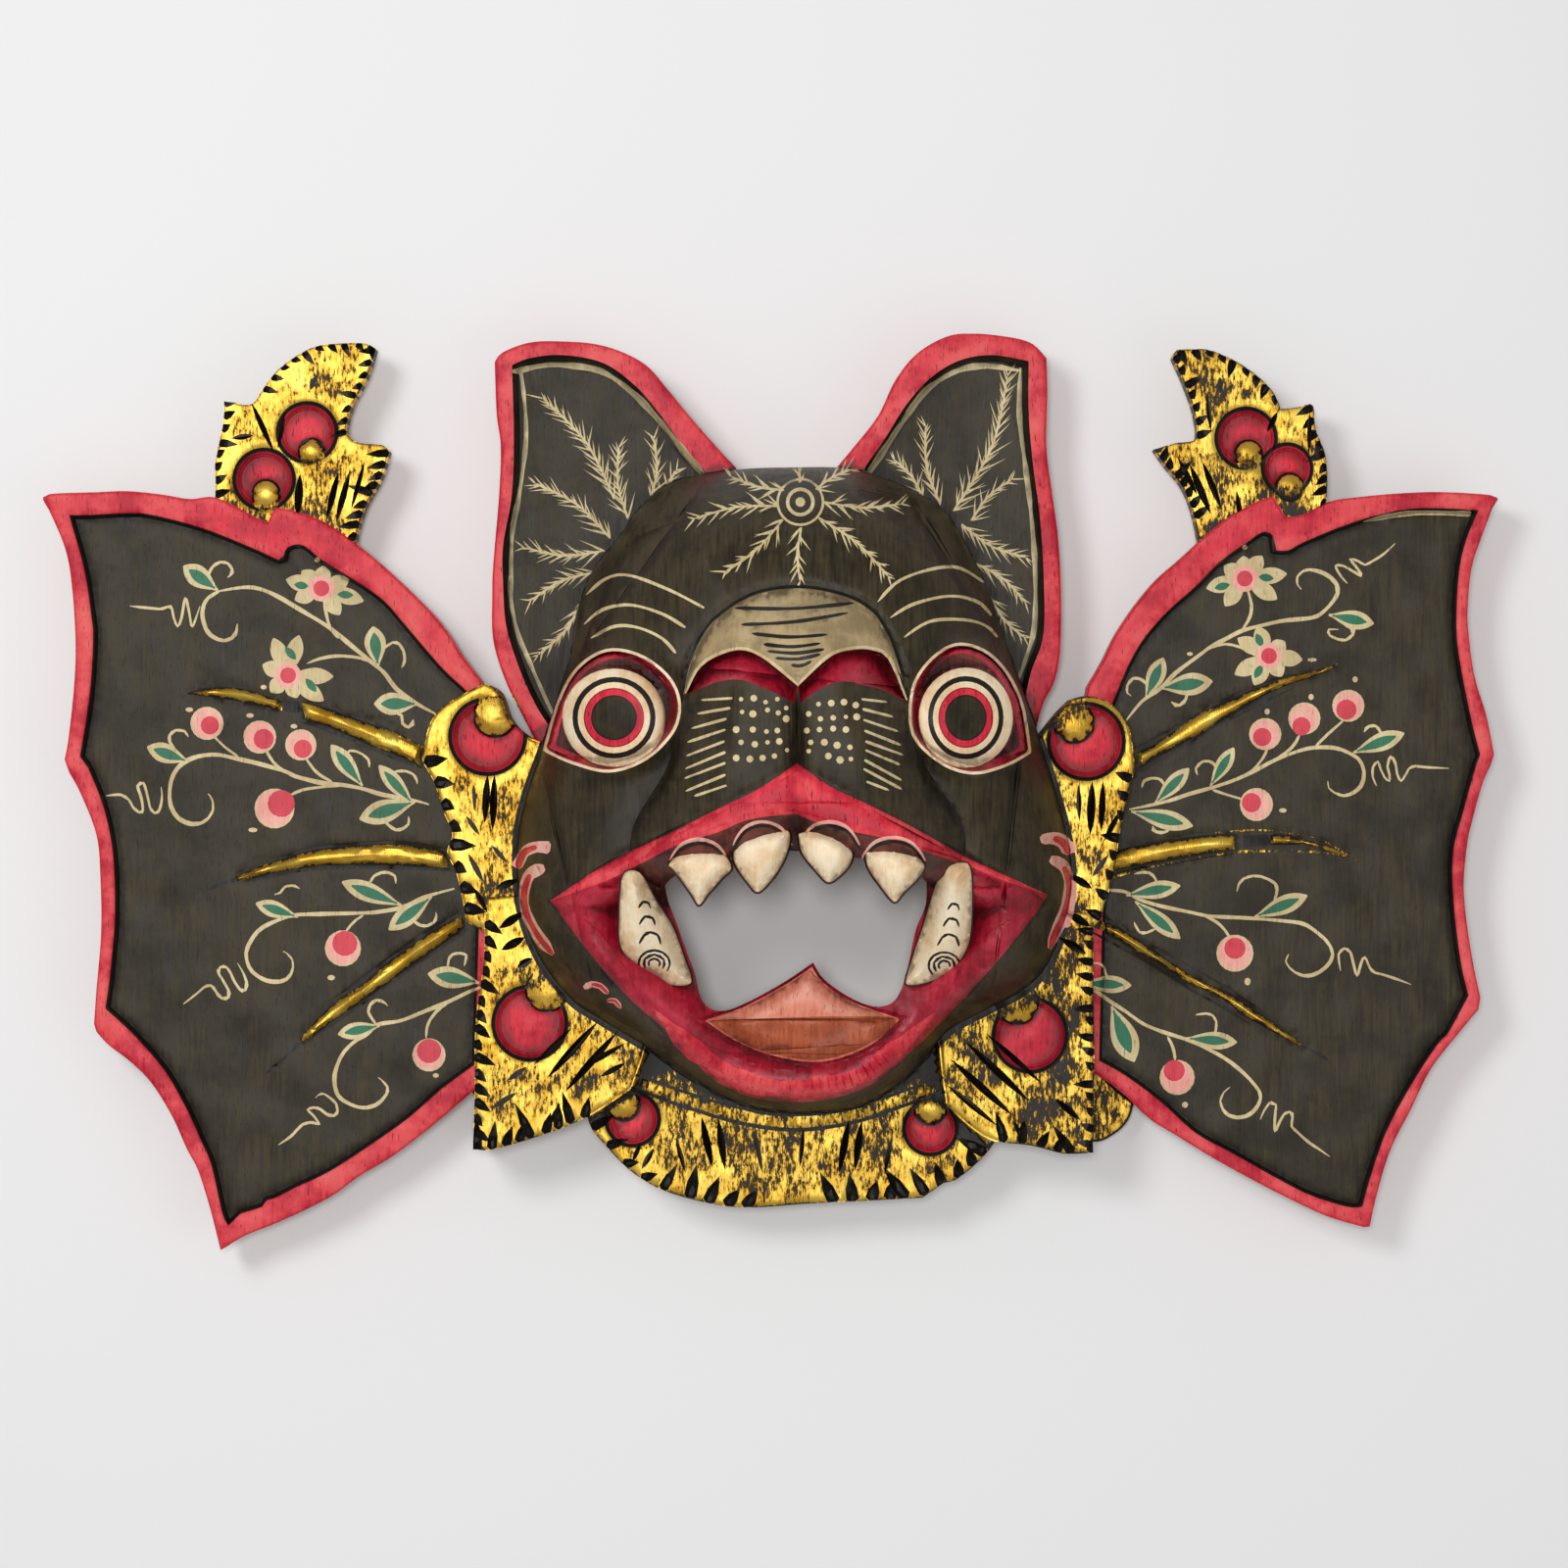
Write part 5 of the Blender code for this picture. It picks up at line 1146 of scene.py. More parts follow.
def brushed_paint(name, body, light, dark, rubbed, roughness=0.5, pores=0.5, grain=1.0, gloss=0.4):
    """Matt tempera-like paint brushed over carved soft wood.

    The wood's grain runs up the mask, so streaks are about 1 mm wide and 15 mm long and the open
    pores are 0.3 mm by 3 mm; both print through the thin paint. The hollows are darkened with painted
    shade.
    """
    material, tree = empty_material(name)
    where = add(tree, "ShaderNodeTexCoord").outputs["Object"]
    streak_at = add(tree, "ShaderNodeMapping", {"Vector": where, "Scale": (900, 70, 120)})
    streak = add(tree, "ShaderNodeTexNoise",
                 {"Vector": streak_at.outputs[0], "Scale": 1.0, "Detail": 3.0, "Roughness": 0.6})
    cloud = add(tree, "ShaderNodeTexNoise",
                {"Vector": where, "Scale": 62.0, "Detail": 4.0, "Roughness": 0.65})
    pore_at = add(tree, "ShaderNodeMapping",
                  {"Vector": where, "Scale": (2400, 260, 500), "Rotation": (0, 0, 0.03)})
    pore = add(tree, "ShaderNodeTexNoise", {"Vector": pore_at.outputs[0], "Scale": 1.0, "Detail": 1.5})
    pit = add(tree, "ShaderNodeMapRange",
              {"Value": pore.outputs[0], "From Min": 0.66, "From Max": 0.72, "To Max": pores})
    hollow = add(tree, "ShaderNodeAttribute", attribute_name="hollow")
    # Painted shade: the hollows are darkened towards a near-black brown.
    hollow_shade = add(tree, "ShaderNodeMapRange",
                {"Value": hollow.outputs["Fac"], "From Min": 0.3, "From Max": 1.3, "To Max": 0.6})
    edge = add(tree, "ShaderNodeMapRange",
               {"Value": hollow.outputs["Fac"], "From Min": -0.2, "From Max": -1.0, "To Max": 0.75})
    patch = add(tree, "ShaderNodeMapRange", {"Value": cloud.outputs[0], "From Min": 0.42, "From Max": 0.68})
    wear = add(tree, "ShaderNodeMath", {0: edge.outputs[0], 1: patch.outputs[0]}, operation="MULTIPLY")
    tone = add(tree, "ShaderNodeMapRange", {"Value": streak.outputs[0], "From Min": 0.34, "From Max": 0.68})
    colour = add(tree, "ShaderNodeMix", {0: tone.outputs[0], 6: linear(body), 7: linear(light)},
                 data_type="RGBA")
    shadow = add(tree, "ShaderNodeMapRange",
                 {"Value": cloud.outputs[0], "From Min": 0.56, "From Max": 0.36, "To Max": 0.55})
    for share, tint in ((shadow, dark), (wear, rubbed), (pit, "#1B1410"), (hollow_shade, "#150E0A")):
        colour = add(tree, "ShaderNodeMix", {0: share.outputs[0], 6: colour.outputs[2], 7: linear(tint)},
                     data_type="RGBA")
    rough = add(tree, "ShaderNodeMapRange", {"Value": streak.outputs[0], "From Min": 0.3, "From Max": 0.7,
                                             "To Min": roughness - 0.07, "To Max": roughness + 0.1})
    facet = add(tree, "ShaderNodeTexVoronoi", {"Vector": where, "Scale": 75.0, "Smoothness": 0.55},
                feature="SMOOTH_F1")
    relief = add(tree, "ShaderNodeMath", {0: streak.outputs[0], 1: 0.5}, operation="MULTIPLY")
    relief = add(tree, "ShaderNodeMath", {0: pit.outputs[0], 1: -1.0, 2: relief.outputs[0]},
                 operation="MULTIPLY_ADD")
    fine = add(tree, "ShaderNodeBump",
               {"Height": relief.outputs[0], "Strength": 0.55 * grain, "Distance": 0.00022})
    cut = add(tree, "ShaderNodeBump",
              {"Height": facet.outputs[0], "Strength": 0.35 * grain, "Distance": 0.0011,
                                       "Normal": fine.outputs[0]})
    shader = add(tree, "ShaderNodeBsdfPrincipled",
                 {"Base Color": colour.outputs[2], "Roughness": rough.outputs[0],
                                                    "Specular IOR Level": gloss, "Normal": cut.outputs[0]})
    add(tree, "ShaderNodeOutputMaterial", {"Surface": shader.outputs[0]})
    return material


def antique_gold():
    """Bronze-gold leaf rubbed over black: leaf sits on the high wood, black and pores show through.

    Flecks are torn leaf of 0.5 to 3 mm, drawn out along the grain; a point attribute says how much
    of the leaf is gone, which darkens the gold more on the right of the mask and, on the head, lower down.
    """
    material, tree = empty_material("antique_gold_leaf")
    where = add(tree, "ShaderNodeTexCoord").outputs["Object"]
    torn_at = add(tree, "ShaderNodeMapping", {"Vector": where, "Scale": (1000, 330, 400)})
    torn = add(tree, "ShaderNodeTexNoise",
               {"Vector": torn_at.outputs[0], "Scale": 1.0, "Detail": 6.0, "Roughness": 0.72})
    patch = add(tree, "ShaderNodeTexNoise",
                {"Vector": where, "Scale": 95.0, "Detail": 5.0, "Roughness": 0.6})
    grain_at = add(tree, "ShaderNodeMapping", {"Vector": where, "Scale": (2300, 130, 400)})
    grain = add(tree, "ShaderNodeTexNoise",
                {"Vector": grain_at.outputs[0], "Scale": 1.0, "Detail": 3.0, "Roughness": 0.55})
    hollow = add(tree, "ShaderNodeAttribute", attribute_name="hollow")
    gold_darkening = add(tree, "ShaderNodeAttribute", attribute_name="gold_darkening")
    loss = add(tree, "ShaderNodeMath", {0: patch.outputs[0], 1: 0.55, 2: -0.275}, operation="MULTIPLY_ADD")
    loss = add(tree, "ShaderNodeMath", {0: torn.outputs[0], 1: loss.outputs[0]}, operation="ADD")
    loss = add(tree, "ShaderNodeMath", {0: gold_darkening.outputs["Fac"], 1: 0.25, 2: loss.outputs[0]},
               operation="MULTIPLY_ADD")
    # Antiquing and painted shade: the hollows lose more leaf, so they turn brown and black.
    loss = add(tree, "ShaderNodeMath", {0: hollow.outputs["Fac"], 1: 0.16, 2: loss.outputs[0]},
               operation="MULTIPLY_ADD")
    line = add(tree, "ShaderNodeMapRange",
               {"Value": grain.outputs[0], "From Min": 0.4, "From Max": 0.75, "To Max": 0.07})
    loss = add(tree, "ShaderNodeMath", {0: loss.outputs[0], 1: line.outputs[0]}, operation="ADD")
    black = add(tree, "ShaderNodeMapRange", {"Value": loss.outputs[0], "From Min": 0.645, "From Max": 0.70})
    tone = add(tree, "ShaderNodeMapRange", {"Value": patch.outputs[0], "From Min": 0.35, "From Max": 0.65})
    leaf = add(tree, "ShaderNodeMix", {0: tone.outputs[0], 6: linear("#F2CC58"), 7: linear("#CC9A26")},
               data_type="RGBA")
    brown = add(tree, "ShaderNodeMapRange",
                {"Value": loss.outputs[0], "From Min": 0.56, "From Max": 0.67, "To Max": 0.75})
    leaf = add(tree, "ShaderNodeMix", {0: brown.outputs[0], 6: leaf.outputs[2], 7: linear("#8A5F17")},
               data_type="RGBA")
    colour = add(tree, "ShaderNodeMix", {0: black.outputs[0], 6: leaf.outputs[2], 7: linear("#15110B")},
                 data_type="RGBA")
    metal = add(tree, "ShaderNodeMapRange", {"Value": black.outputs[0], "To Min": 0.78, "To Max": 0.0})
    rough = add(tree, "ShaderNodeMapRange",
                {"Value": loss.outputs[0], "From Min": 0.4, "From Max": 0.7, "To Min": 0.36, "To Max": 0.6})
    high = add(tree, "ShaderNodeMath", {0: black.outputs[0], 1: -0.8, 2: grain.outputs[0]},
               operation="MULTIPLY_ADD")
    bumped = add(tree, "ShaderNodeBump", {"Height": high.outputs[0], "Strength": 0.6, "Distance": 0.00025})
    shader = add(tree, "ShaderNodeBsdfPrincipled",
                 {"Base Color": colour.outputs[2], "Metallic": metal.outputs[0],
                                                    "Roughness": rough.outputs[0],
                                                    "Normal": bumped.outputs[0]})
    add(tree, "ShaderNodeOutputMaterial", {"Surface": shader.outputs[0]})
    return material


def bare_wood():
    """Sawn and gouged light wood, oiled: pale tan with brown grain lines, 2 to 3 mm apart."""
    material, tree = empty_material("gouged_pulai_wood")
    where = add(tree, "ShaderNodeTexCoord").outputs["Object"]
    stretched = add(tree, "ShaderNodeMapping", {"Vector": where, "Scale": (330, 16, 90)})
    rings = add(tree, "ShaderNodeTexNoise",
                {"Vector": stretched.outputs[0], "Scale": 1.0, "Detail": 5.0, "Distortion": 0.4})
    pore_at = add(tree, "ShaderNodeMapping", {"Vector": where, "Scale": (2200, 240, 700)})
    pore = add(tree, "ShaderNodeTexNoise", {"Vector": pore_at.outputs[0], "Scale": 1.0, "Detail": 2.0})
    gouge = add(tree, "ShaderNodeTexVoronoi", {"Vector": where, "Scale": 110.0, "Smoothness": 0.4},
                feature="SMOOTH_F1")
    tone = add(tree, "ShaderNodeMapRange", {"Value": rings.outputs[0], "From Min": 0.35, "From Max": 0.65})
    colour = add(tree, "ShaderNodeMix", {0: tone.outputs[0], 6: linear("#B88F5E"), 7: linear("#8A6238")},
                 data_type="RGBA")
    pit = add(tree, "ShaderNodeMapRange",
              {"Value": pore.outputs[0], "From Min": 0.6, "From Max": 0.7, "To Max": 0.6})
    colour = add(tree, "ShaderNodeMix", {0: pit.outputs[0], 6: colour.outputs[2], 7: linear("#4E341D")},
                 data_type="RGBA")
    fine = add(tree, "ShaderNodeBump", {"Height": pore.outputs[0], "Strength": 0.4, "Distance": 0.0002},
               invert=True)
    cut = add(tree, "ShaderNodeBump",
              {"Height": gouge.outputs[0], "Strength": 0.5, "Distance": 0.0012, "Normal": fine.outputs[0]})
    shader = add(tree, "ShaderNodeBsdfPrincipled",
                 {"Base Color": colour.outputs[2], "Roughness": 0.72, "Normal": cut.outputs[0]})
    add(tree, "ShaderNodeOutputMaterial", {"Surface": shader.outputs[0]})
    return material


FINISHES = {
    RED: brushed_paint("brushed_red_paint", "#D6203A", "#F0434D", "#94102A", "#F26E6A", 0.46, 0.8, 1.0,
                       0.22),
    BLACK: brushed_paint("matt_black_paint", "#2C2618", "#473E2A", "#17130D", "#4A4130", 0.47, 0.35, 0.9,
                         0.22),
    GOLD: antique_gold(),
    CREAM: brushed_paint("cream_line_paint", "#D6C08A", "#EAD9AB", "#AE945F", "#F0E2BC", 0.55, 0.5),
    CRIMSON: brushed_paint("crimson_mouth_paint", "#950D24", "#B91A33", "#5E0716", "#D23A50", 0.42, 0.45),
    IVORY: brushed_paint("ivory_tooth_paint", "#F5D6A6", "#FFEBC8", "#CF9A5C", "#FFF3D8", 0.42, 0.22, 0.6),
    TAN: brushed_paint("tan_nose_paint", "#A68F64", "#BCA477", "#84704B", "#D0B88C", 0.5, 0.3),
    GREEN: brushed_paint("leaf_green_paint", "#1D6A4A", "#2B7F5B", "#134E36", "#3A8C6A", 0.5, 0.3),
    PINK: brushed_paint("petal_pink_paint", "#F2A697", "#FAC4B0", "#E58A80", "#FBD7C3", 0.5, 0.3),
    BERRY: brushed_paint("berry_red_paint", "#D62A40", "#E84A58", "#B41A32", "#F0686F", 0.48, 0.3),
    TONGUE_LOW: brushed_paint("tongue_underside_paint", "#A64C2E", "#BE623E", "#7C351A", "#CB7C5C", 0.45,
                              0.5, 1.0, 0.3),
    TONGUE: brushed_paint("tongue_paint", "#DC7A62", "#F0987F", "#AE5630", "#F4B09A", 0.45, 0.5),
    # Black for cuts and lines, also used for painted shadow bands at steps.
    INK: brushed_paint("black_cut_and_shadow_paint", "#12100D", "#1C1915", "#0B0908", "#2C261D", 0.5, 0.1, 0.4, 0.3),
    WOOD: bare_wood(),
    GUM: brushed_paint("stained_gum_paint", "#331210", "#6B2722", "#160B08", "#8E4A3E", 0.45, 0.6),
}
MARKS = marks_tree()


def notches(rows, edge_side=1):
    found = []
    for path, pitch, length, width, lean in rows:
        line = flowing(path, 4.0)
        found += marks(MARKS, line, FINISHES[INK], pitch=float(pitch), length=float(length) * 1.5,
                       width=float(width) * 2.1, lean=math.radians(lean) * edge_side, end_share=1.0,
                       both_sides=0.0,
                       unevenness=0.32, seed=SEED)
    return found


def feather(base, tip, length, pitch, lean=0.55, width=2.4, bend=0.0):
    """Painted feather: a stem with barbs on both sides that shorten to the tip."""
    base, tip = np.array(base, dtype=float), np.array(tip, dtype=float)
    middle = (base + tip) / 2 + np.array([base[1] - tip[1], tip[0] - base[0]]) * bend
    path = flowing([tuple(base), tuple(middle), tuple(tip)], 4.0)
    barbs = []
    for turn in (0, 1):
        barbs += marks(MARKS, path, FINISHES[CREAM], pitch=pitch * (1 + 0.3 * turn),
                       length=length * (1 - 0.25 * turn),
                       width=width, lean=lean * (1 + 0.35 * turn), end_share=0.6, both_sides=1.0,
                       unevenness=0.4,
                       seed=int(base[0]) + turn)
    return stroke([tuple(base), tuple(middle), tuple(tip)], 2.2, 0.8, 0.3) + barbs


def cut_v(points, z, shape, depth, half_width):
    """Lower the surface inside a cut's outline, deepest along its middle."""
    return z - depth * np.clip(inside(points, shape, 2.0) / half_width, 0.0, 1.0)


def comma_relief(points, z, centre, radius, knob, knob_radius):
    """Sunk round with a domed knob left standing and a fine groove around it."""
    out = radius - np.hypot(*(points - centre).T)
    lump = knob_radius - np.hypot(*(points - knob).T)
    surface = z - SCROLL_DEPTH * ease(out / 5.0) * (1 - 0.35 * ease((out - 5.0) / radius))
    surface -= 0.0008 * np.exp(-((out + 2.4) / 1.8) ** 2)
    surface -= 0.0007 * np.exp(-((lump + 1.6) / 1.6) ** 2) * (out > -2)
    dome = z - SCROLL_DEPTH * 0.35 + 0.0016 * swell(lump, knob_radius * 0.9)
    return np.where(lump > 0, dome, surface)


def comma_paints(centre, radius, knob, knob_radius):
    out = (np.array(knob, dtype=float) - centre) / math.dist(knob, centre)
    stem = np.array(knob) - out * knob_radius * 0.3, np.array(knob) + out * knob_radius * 1.5
    neck = lens(*stem, knob_radius * 2.1)
    return [(circle(centre, radius + 4.2), INK), (circle(centre, radius), CRIMSON),
            (circle(centre, radius - 3.0), RED),
            (circle(knob, knob_radius + 2.6), INK), (circle(knob, knob_radius), GOLD), (neck, GOLD)]


def comma_rows(centre, radius, knob, knob_radius):
    return [(circle(centre, radius + 2.4), True), (circle(centre, radius - 5), True),
            (circle(knob, knob_radius * 0.6), True)]


def filled(pieces, slot):
    """Outlines with the paint that fills them."""
    return [(piece, slot) for piece in pieces]


def rows_in(shape, *distances):
    """Closed rows of points at distances in from an outline."""
    return [(grown(shape, -d), True) for d in distances]


def make_wing(side):
    edge, field, crest = loop(WING_EDGE[side]), loop(WING_FIELD[side]), loop(CREST_EDGE[side])
    ribs = [np.vstack([flowing(top, 5.0), flowing(low, 5.0)[::-1]]) for top, low in RIB_SHAPES[side]]
    seams = [np.array([np.add(a, b) / 2 for a, b in zip(top, low)]) for top, low in RIB_SHAPES[side]]
    cuts = [lens(start, end, width) for start, end, width in CREST_GROOVES[side]]
    nicks = notches(CREST_NOTCHES[side])
    dark = [(stroke(points, width, 0.2, 0.2), width) for points, width in RIB_CUTS[side]]

    def front(p):
        rim = inside(p, edge, 60)
        well = inside(p, field, 60)
        z = BOARD_FRONT - worn_edge(rim) + 0.00012 * waves(p, 60, 3)
        z -= 0.0004 * np.exp(-(np.minimum(well, 0) / 2.2) ** 2)
        z -= (FIELD_DEPTH - 0.0004) * ease(well / 2.6)
        z -= 0.0004 * np.exp(-((well - 3.4) / 2.2) ** 2)
        z += np.where(well > 0, 0.00022 * waves(p, 75, 5) * ease(well / 12), 0)
        for shape in ribs:
            depth = inside(p, shape, 8)
            z += RIB_RISE * 0.86 * swell(depth, 6.5) * (well > -3)
            z -= 0.0005 * np.exp(-((depth + 2.0) / 1.8) ** 2)
        for pieces, width in dark:
            for piece in pieces:
                z = cut_v(p, z, piece, 0.0005, width / 2)
        top = inside(p, crest, 60)
        gold = CREST_FRONT - worn_edge(top, 2.4) + 0.00015 * waves(p, 40, 9)
        for comma in CREST_COMMAS[side]:
            gold = comma_relief(p, gold, *comma)
        for shape in cuts:
            gold = cut_v(p, gold, shape, GROOVE_DEPTH, 3.0)
        for shape in nicks:
            gold = cut_v(p, gold, shape, NOTCH_DEPTH, 2.4)
        return np.where((top >= -0.01) & (rim < 0.01), gold, z)

    def back(p):
        return np.full(len(p), BOARD_BACK)

    paints = [(crest, GOLD)]
    for comma in CREST_COMMAS[side]:
        paints += comma_paints(*comma)
    paints += filled(cuts + nicks, INK)
    # The black band just outside the field is black paint and a painted shadow of the step down from the
    # rim.
    paints += [(edge, RED), (grown(field, 0.6), INK), (grown(field, -3.2), BLACK)]
    for pieces, _ in dark:
        paints += filled(pieces, INK)
    paints += filled(ribs, GOLD)
    for points, width in RIB_LINES[side]:
        paints += filled(stroke(points, width, 0.3, 0.2), GOLD)
    for points, width in VINES[side]:
        paints += filled(stroke(points, width * 0.84), CREAM)
    for base, tip, width in VINE_LEAVES[side]:
        axis = np.array(tip, dtype=float) - np.array(base, dtype=float)
        start, end = np.array(base) + axis * 0.08, np.array(base) + axis * 0.84
        paints += [(teardrop(base, tip, width), CREAM), (teardrop(start, end, width * 0.52), GREEN)]
    for centre, tips, greens in FLOWERS[side]:
        for tip in tips:
            paints.append((teardrop(centre, tip, 17), CREAM))
        for x0, y0, x1, y1 in greens:
            paints.append((lens((x0, y0), (x1, y1), 8), GREEN))
        paints += [(circle(centre, 13.5, 16), PINK), (circle(centre, 8.3, 12), BERRY)]
    for centre, radius, core, core_radius in BERRIES[side]:
        paints += [(circle(centre, radius + 1.0, 18), CREAM), (circle(centre, radius - 0.6, 18), PINK),
                   (circle(core, core_radius, 14), BERRY)]
    for x, y, rx, ry in VINE_DABS[side]:
        paints.append((circle((x, y), rx * 0.8, 8, ry * 0.8), CREAM))
    for line in FIELD_TOP_LINES[side]:
        paints += filled(stroke(line, 4.5, 0.7, 0.1), CREAM)

    rings = rows_in(edge, 0.5, 1.5, 3.2) + rows_in(field, 1.3, 5.0, -2.5) + rows_in(crest, 0.5, 1.4, 2.6)
    for shape in ribs:
        rings += rows_in(shape, 2.0, 4.2)
    rings += [(seam, False) for seam in seams]
    for comma in CREST_COMMAS[side]:
        rings += comma_rows(*comma)
    rings += [(np.array([start, end], dtype=float), False) for start, end, _ in CREST_GROOVES[side]]
    shell = carved_shell([edge, crest], [], paints, rings, front, back, 6.5)

    # The right wing's gold is made darker than the left's.
    def gold_darkening(co):
        return np.full(len(co), 0.36 if side == "left" else 0.6)

    return build(f"wing_{side}_board", [shell], FINISHES, gold_darkening)


FACE = loop(FACE_EDGE, 6.0)
SNOUT = loop(SNOUT_EDGE, 8.0)
MOUTH = loop(MOUTH_EDGE, 6.0)
LIP = loop(UPPER_LIP, 6.0)
TONGUE_SHAPE = loop(TONGUE_EDGE, 5.0)
HOLE = loop(MOUTH_HOLE, 5.0)
LIDS = {side: loop(arcs, 6.0) for side, arcs in EYE_LIDS.items()}
NOSTRIL_SHAPES = [np.vstack([flowing(top, 5.0), flowing(low, 5.0)[1:-1]]) for top, low in NOSTRILS]
NOSE = loop(NOSE_LEAF, 5.0)


def round_face(points):
    edge = np.clip(inside(points, FACE), 0.0, None)
    heights, shares = [478, 618, 738, 828, 1008, 1108], [0.86, 0.84, 0.50, 0.62, 0.40, 0.32]
    radius = np.interp(points[:, 1], heights, shares) * FACE_ROUND / UNIT
    share = np.clip(edge / radius, 0.0, 1.0)
    jaw = 1.0 - 0.2 * ease((points[:, 1] - 898.0) / 190.0)
    return EDGE_HEIGHT + FACE_ROUND * jaw * np.sqrt(1.0 - (1.0 - share) ** 2)


def bare_face(p):
    """The face as the solid has it: dome, snout, mouth, tongue and eye sockets."""
    z = round_face(p)
    snout = inside(p, SNOUT, 400)
    z = z + SNOUT_RISE * swell(snout, 72)
    z += 0.10 * SNOUT_RISE * bump(p, (815, 668), 70, 45)
    for centre in ((756, 768), (874, 768)):
        z += 0.16 * SNOUT_RISE * bump(p, centre, 46, 52)
    z -= 0.14 * SNOUT_RISE * bump(p, (814, 775), 9, 60)
    mouth = inside(p, MOUTH, 60)
    upper = ease((960 - p[:, 1]) / 90)
    lip = np.clip(mouth / 44, 0.0, 1.0)
    z += 0.0034 * np.sin(lip * math.pi) * upper
    z -= MOUTH_DEPTH * ease((mouth - 34.0 * upper) / 62.0)
    z += 0.0075 * swell(inside(p, TONGUE_SHAPE, 30), 24)
    for lid in LIDS.values():
        well = inside(p, lid, 60)
        z += 0.0022 * np.exp(-(well / 9) ** 2)
        z -= 0.0065 * swell(well, 9)
    return z


def eye_height(side):
    x, y = (627, 731) if side == "left" else (985, 731)
    return float(bare_face(np.array([(x, y)], dtype=float))[0]) + EYE_RISE - EYE_RADIUS * EYE_SQUASH


EYE_HEIGHTS = {side: eye_height(side) for side in EYES}


def face_front(p):
    """The finished carving of the face."""
    z = bare_face(p)
    nose = inside(p, NOSE, 40)
    z -= 0.0010 * np.exp(-((nose + 4.0) / 3.0) ** 2) * (p[:, 1] < 690)
    z += 0.0012 * swell(nose, 14)
    for shape, (top, low) in zip(NOSTRIL_SHAPES, NOSTRILS):
        within = inside(p, shape, 10)
        here = within > -0.01
        to_top = np.abs(inside(p[here], np.vstack([flowing(top, 5.0), [(815, 560)]]), 90))
        to_low = np.abs(inside(p[here], np.vstack([flowing(low, 5.0), [(815, 860)]]), 90))
        depth = np.zeros(len(p))
        depth[here] = (to_low / (to_top + to_low + 1e-6)) ** 0.8
        z -= np.where(here, NOSTRIL_DEPTH * depth * np.clip(within / 1.2, 0, 1), 0)
    crease = np.exp(-((p[:, 0] - MUZZLE_CREASE_X) / 3.5) ** 2)
    z -= 0.0012 * crease * ease((p[:, 1] - 712) / 10) * ease((786 - p[:, 1]) / 10)
    lip = inside(p, LIP, 40)
    z += 0.0012 * swell(lip, 9)
    mouth = inside(p, MOUTH, 60)
    gum = (mouth > 0) & (p[:, 1] < 905)
    z -= np.where(gum, 0.0022 * ease(-lip / 5), 0)
    z -= 0.0005 * np.exp(-((mouth + 2.0) / 2.0) ** 2)
    tongue = inside(p, TONGUE_SHAPE, 30)
    z -= 0.0006 * np.exp(-((tongue + 1.5) / 2.0) ** 2)
    z += 0.0007 * np.exp(-((p[:, 0] - 828) / 20) ** 2) * (tongue > 0) * ease(tongue / 10)
    for side, lid in LIDS.items():
        x, y, _, _ = EYES[side]
        well = inside(p, lid, 60)
        dx, dy = (p[:, 0] - x) * UNIT, (p[:, 1] - y) * UNIT
        lean = EYE_LEAN if side == "left" else -EYE_LEAN
        dome = np.sqrt(np.maximum(EYE_RADIUS ** 2 - dx * dx - dy * dy, 0))
        ball = EYE_HEIGHTS[side] + EYE_SQUASH * dome + lean * dx
        z = np.where((well > 3.0) & (ball > z), ball, z)
        z += 0.0007 * np.exp(-((well + 1.0) / 2.2) ** 2)
    z += 0.00025 * waves(p, 90, 11)
    over = np.maximum(z - SOFT_TOP, 0)
    return z - over + SOFT_MARGIN * (1 - np.exp(-over / SOFT_MARGIN))


EARS = {side: (loop(EAR_EDGE[side]), loop(EAR_FIELD[side])) for side in SIDES}
SCROLLS = {side: loop(SCROLL_EDGE[side]) for side in SIDES}
LEAVES = {side: loop(LEAF_EDGE[side]) for side in SIDES}
COLLAR = loop(COLLAR_EDGE)
ROPE_LINE = [(640, 1098), (700, 1121), (760, 1138), (806, 1144), (860, 1139), (915, 1122), (965, 1103)]
ROPE = np.array(flowing(ROPE_LINE, 5.0))[::4]


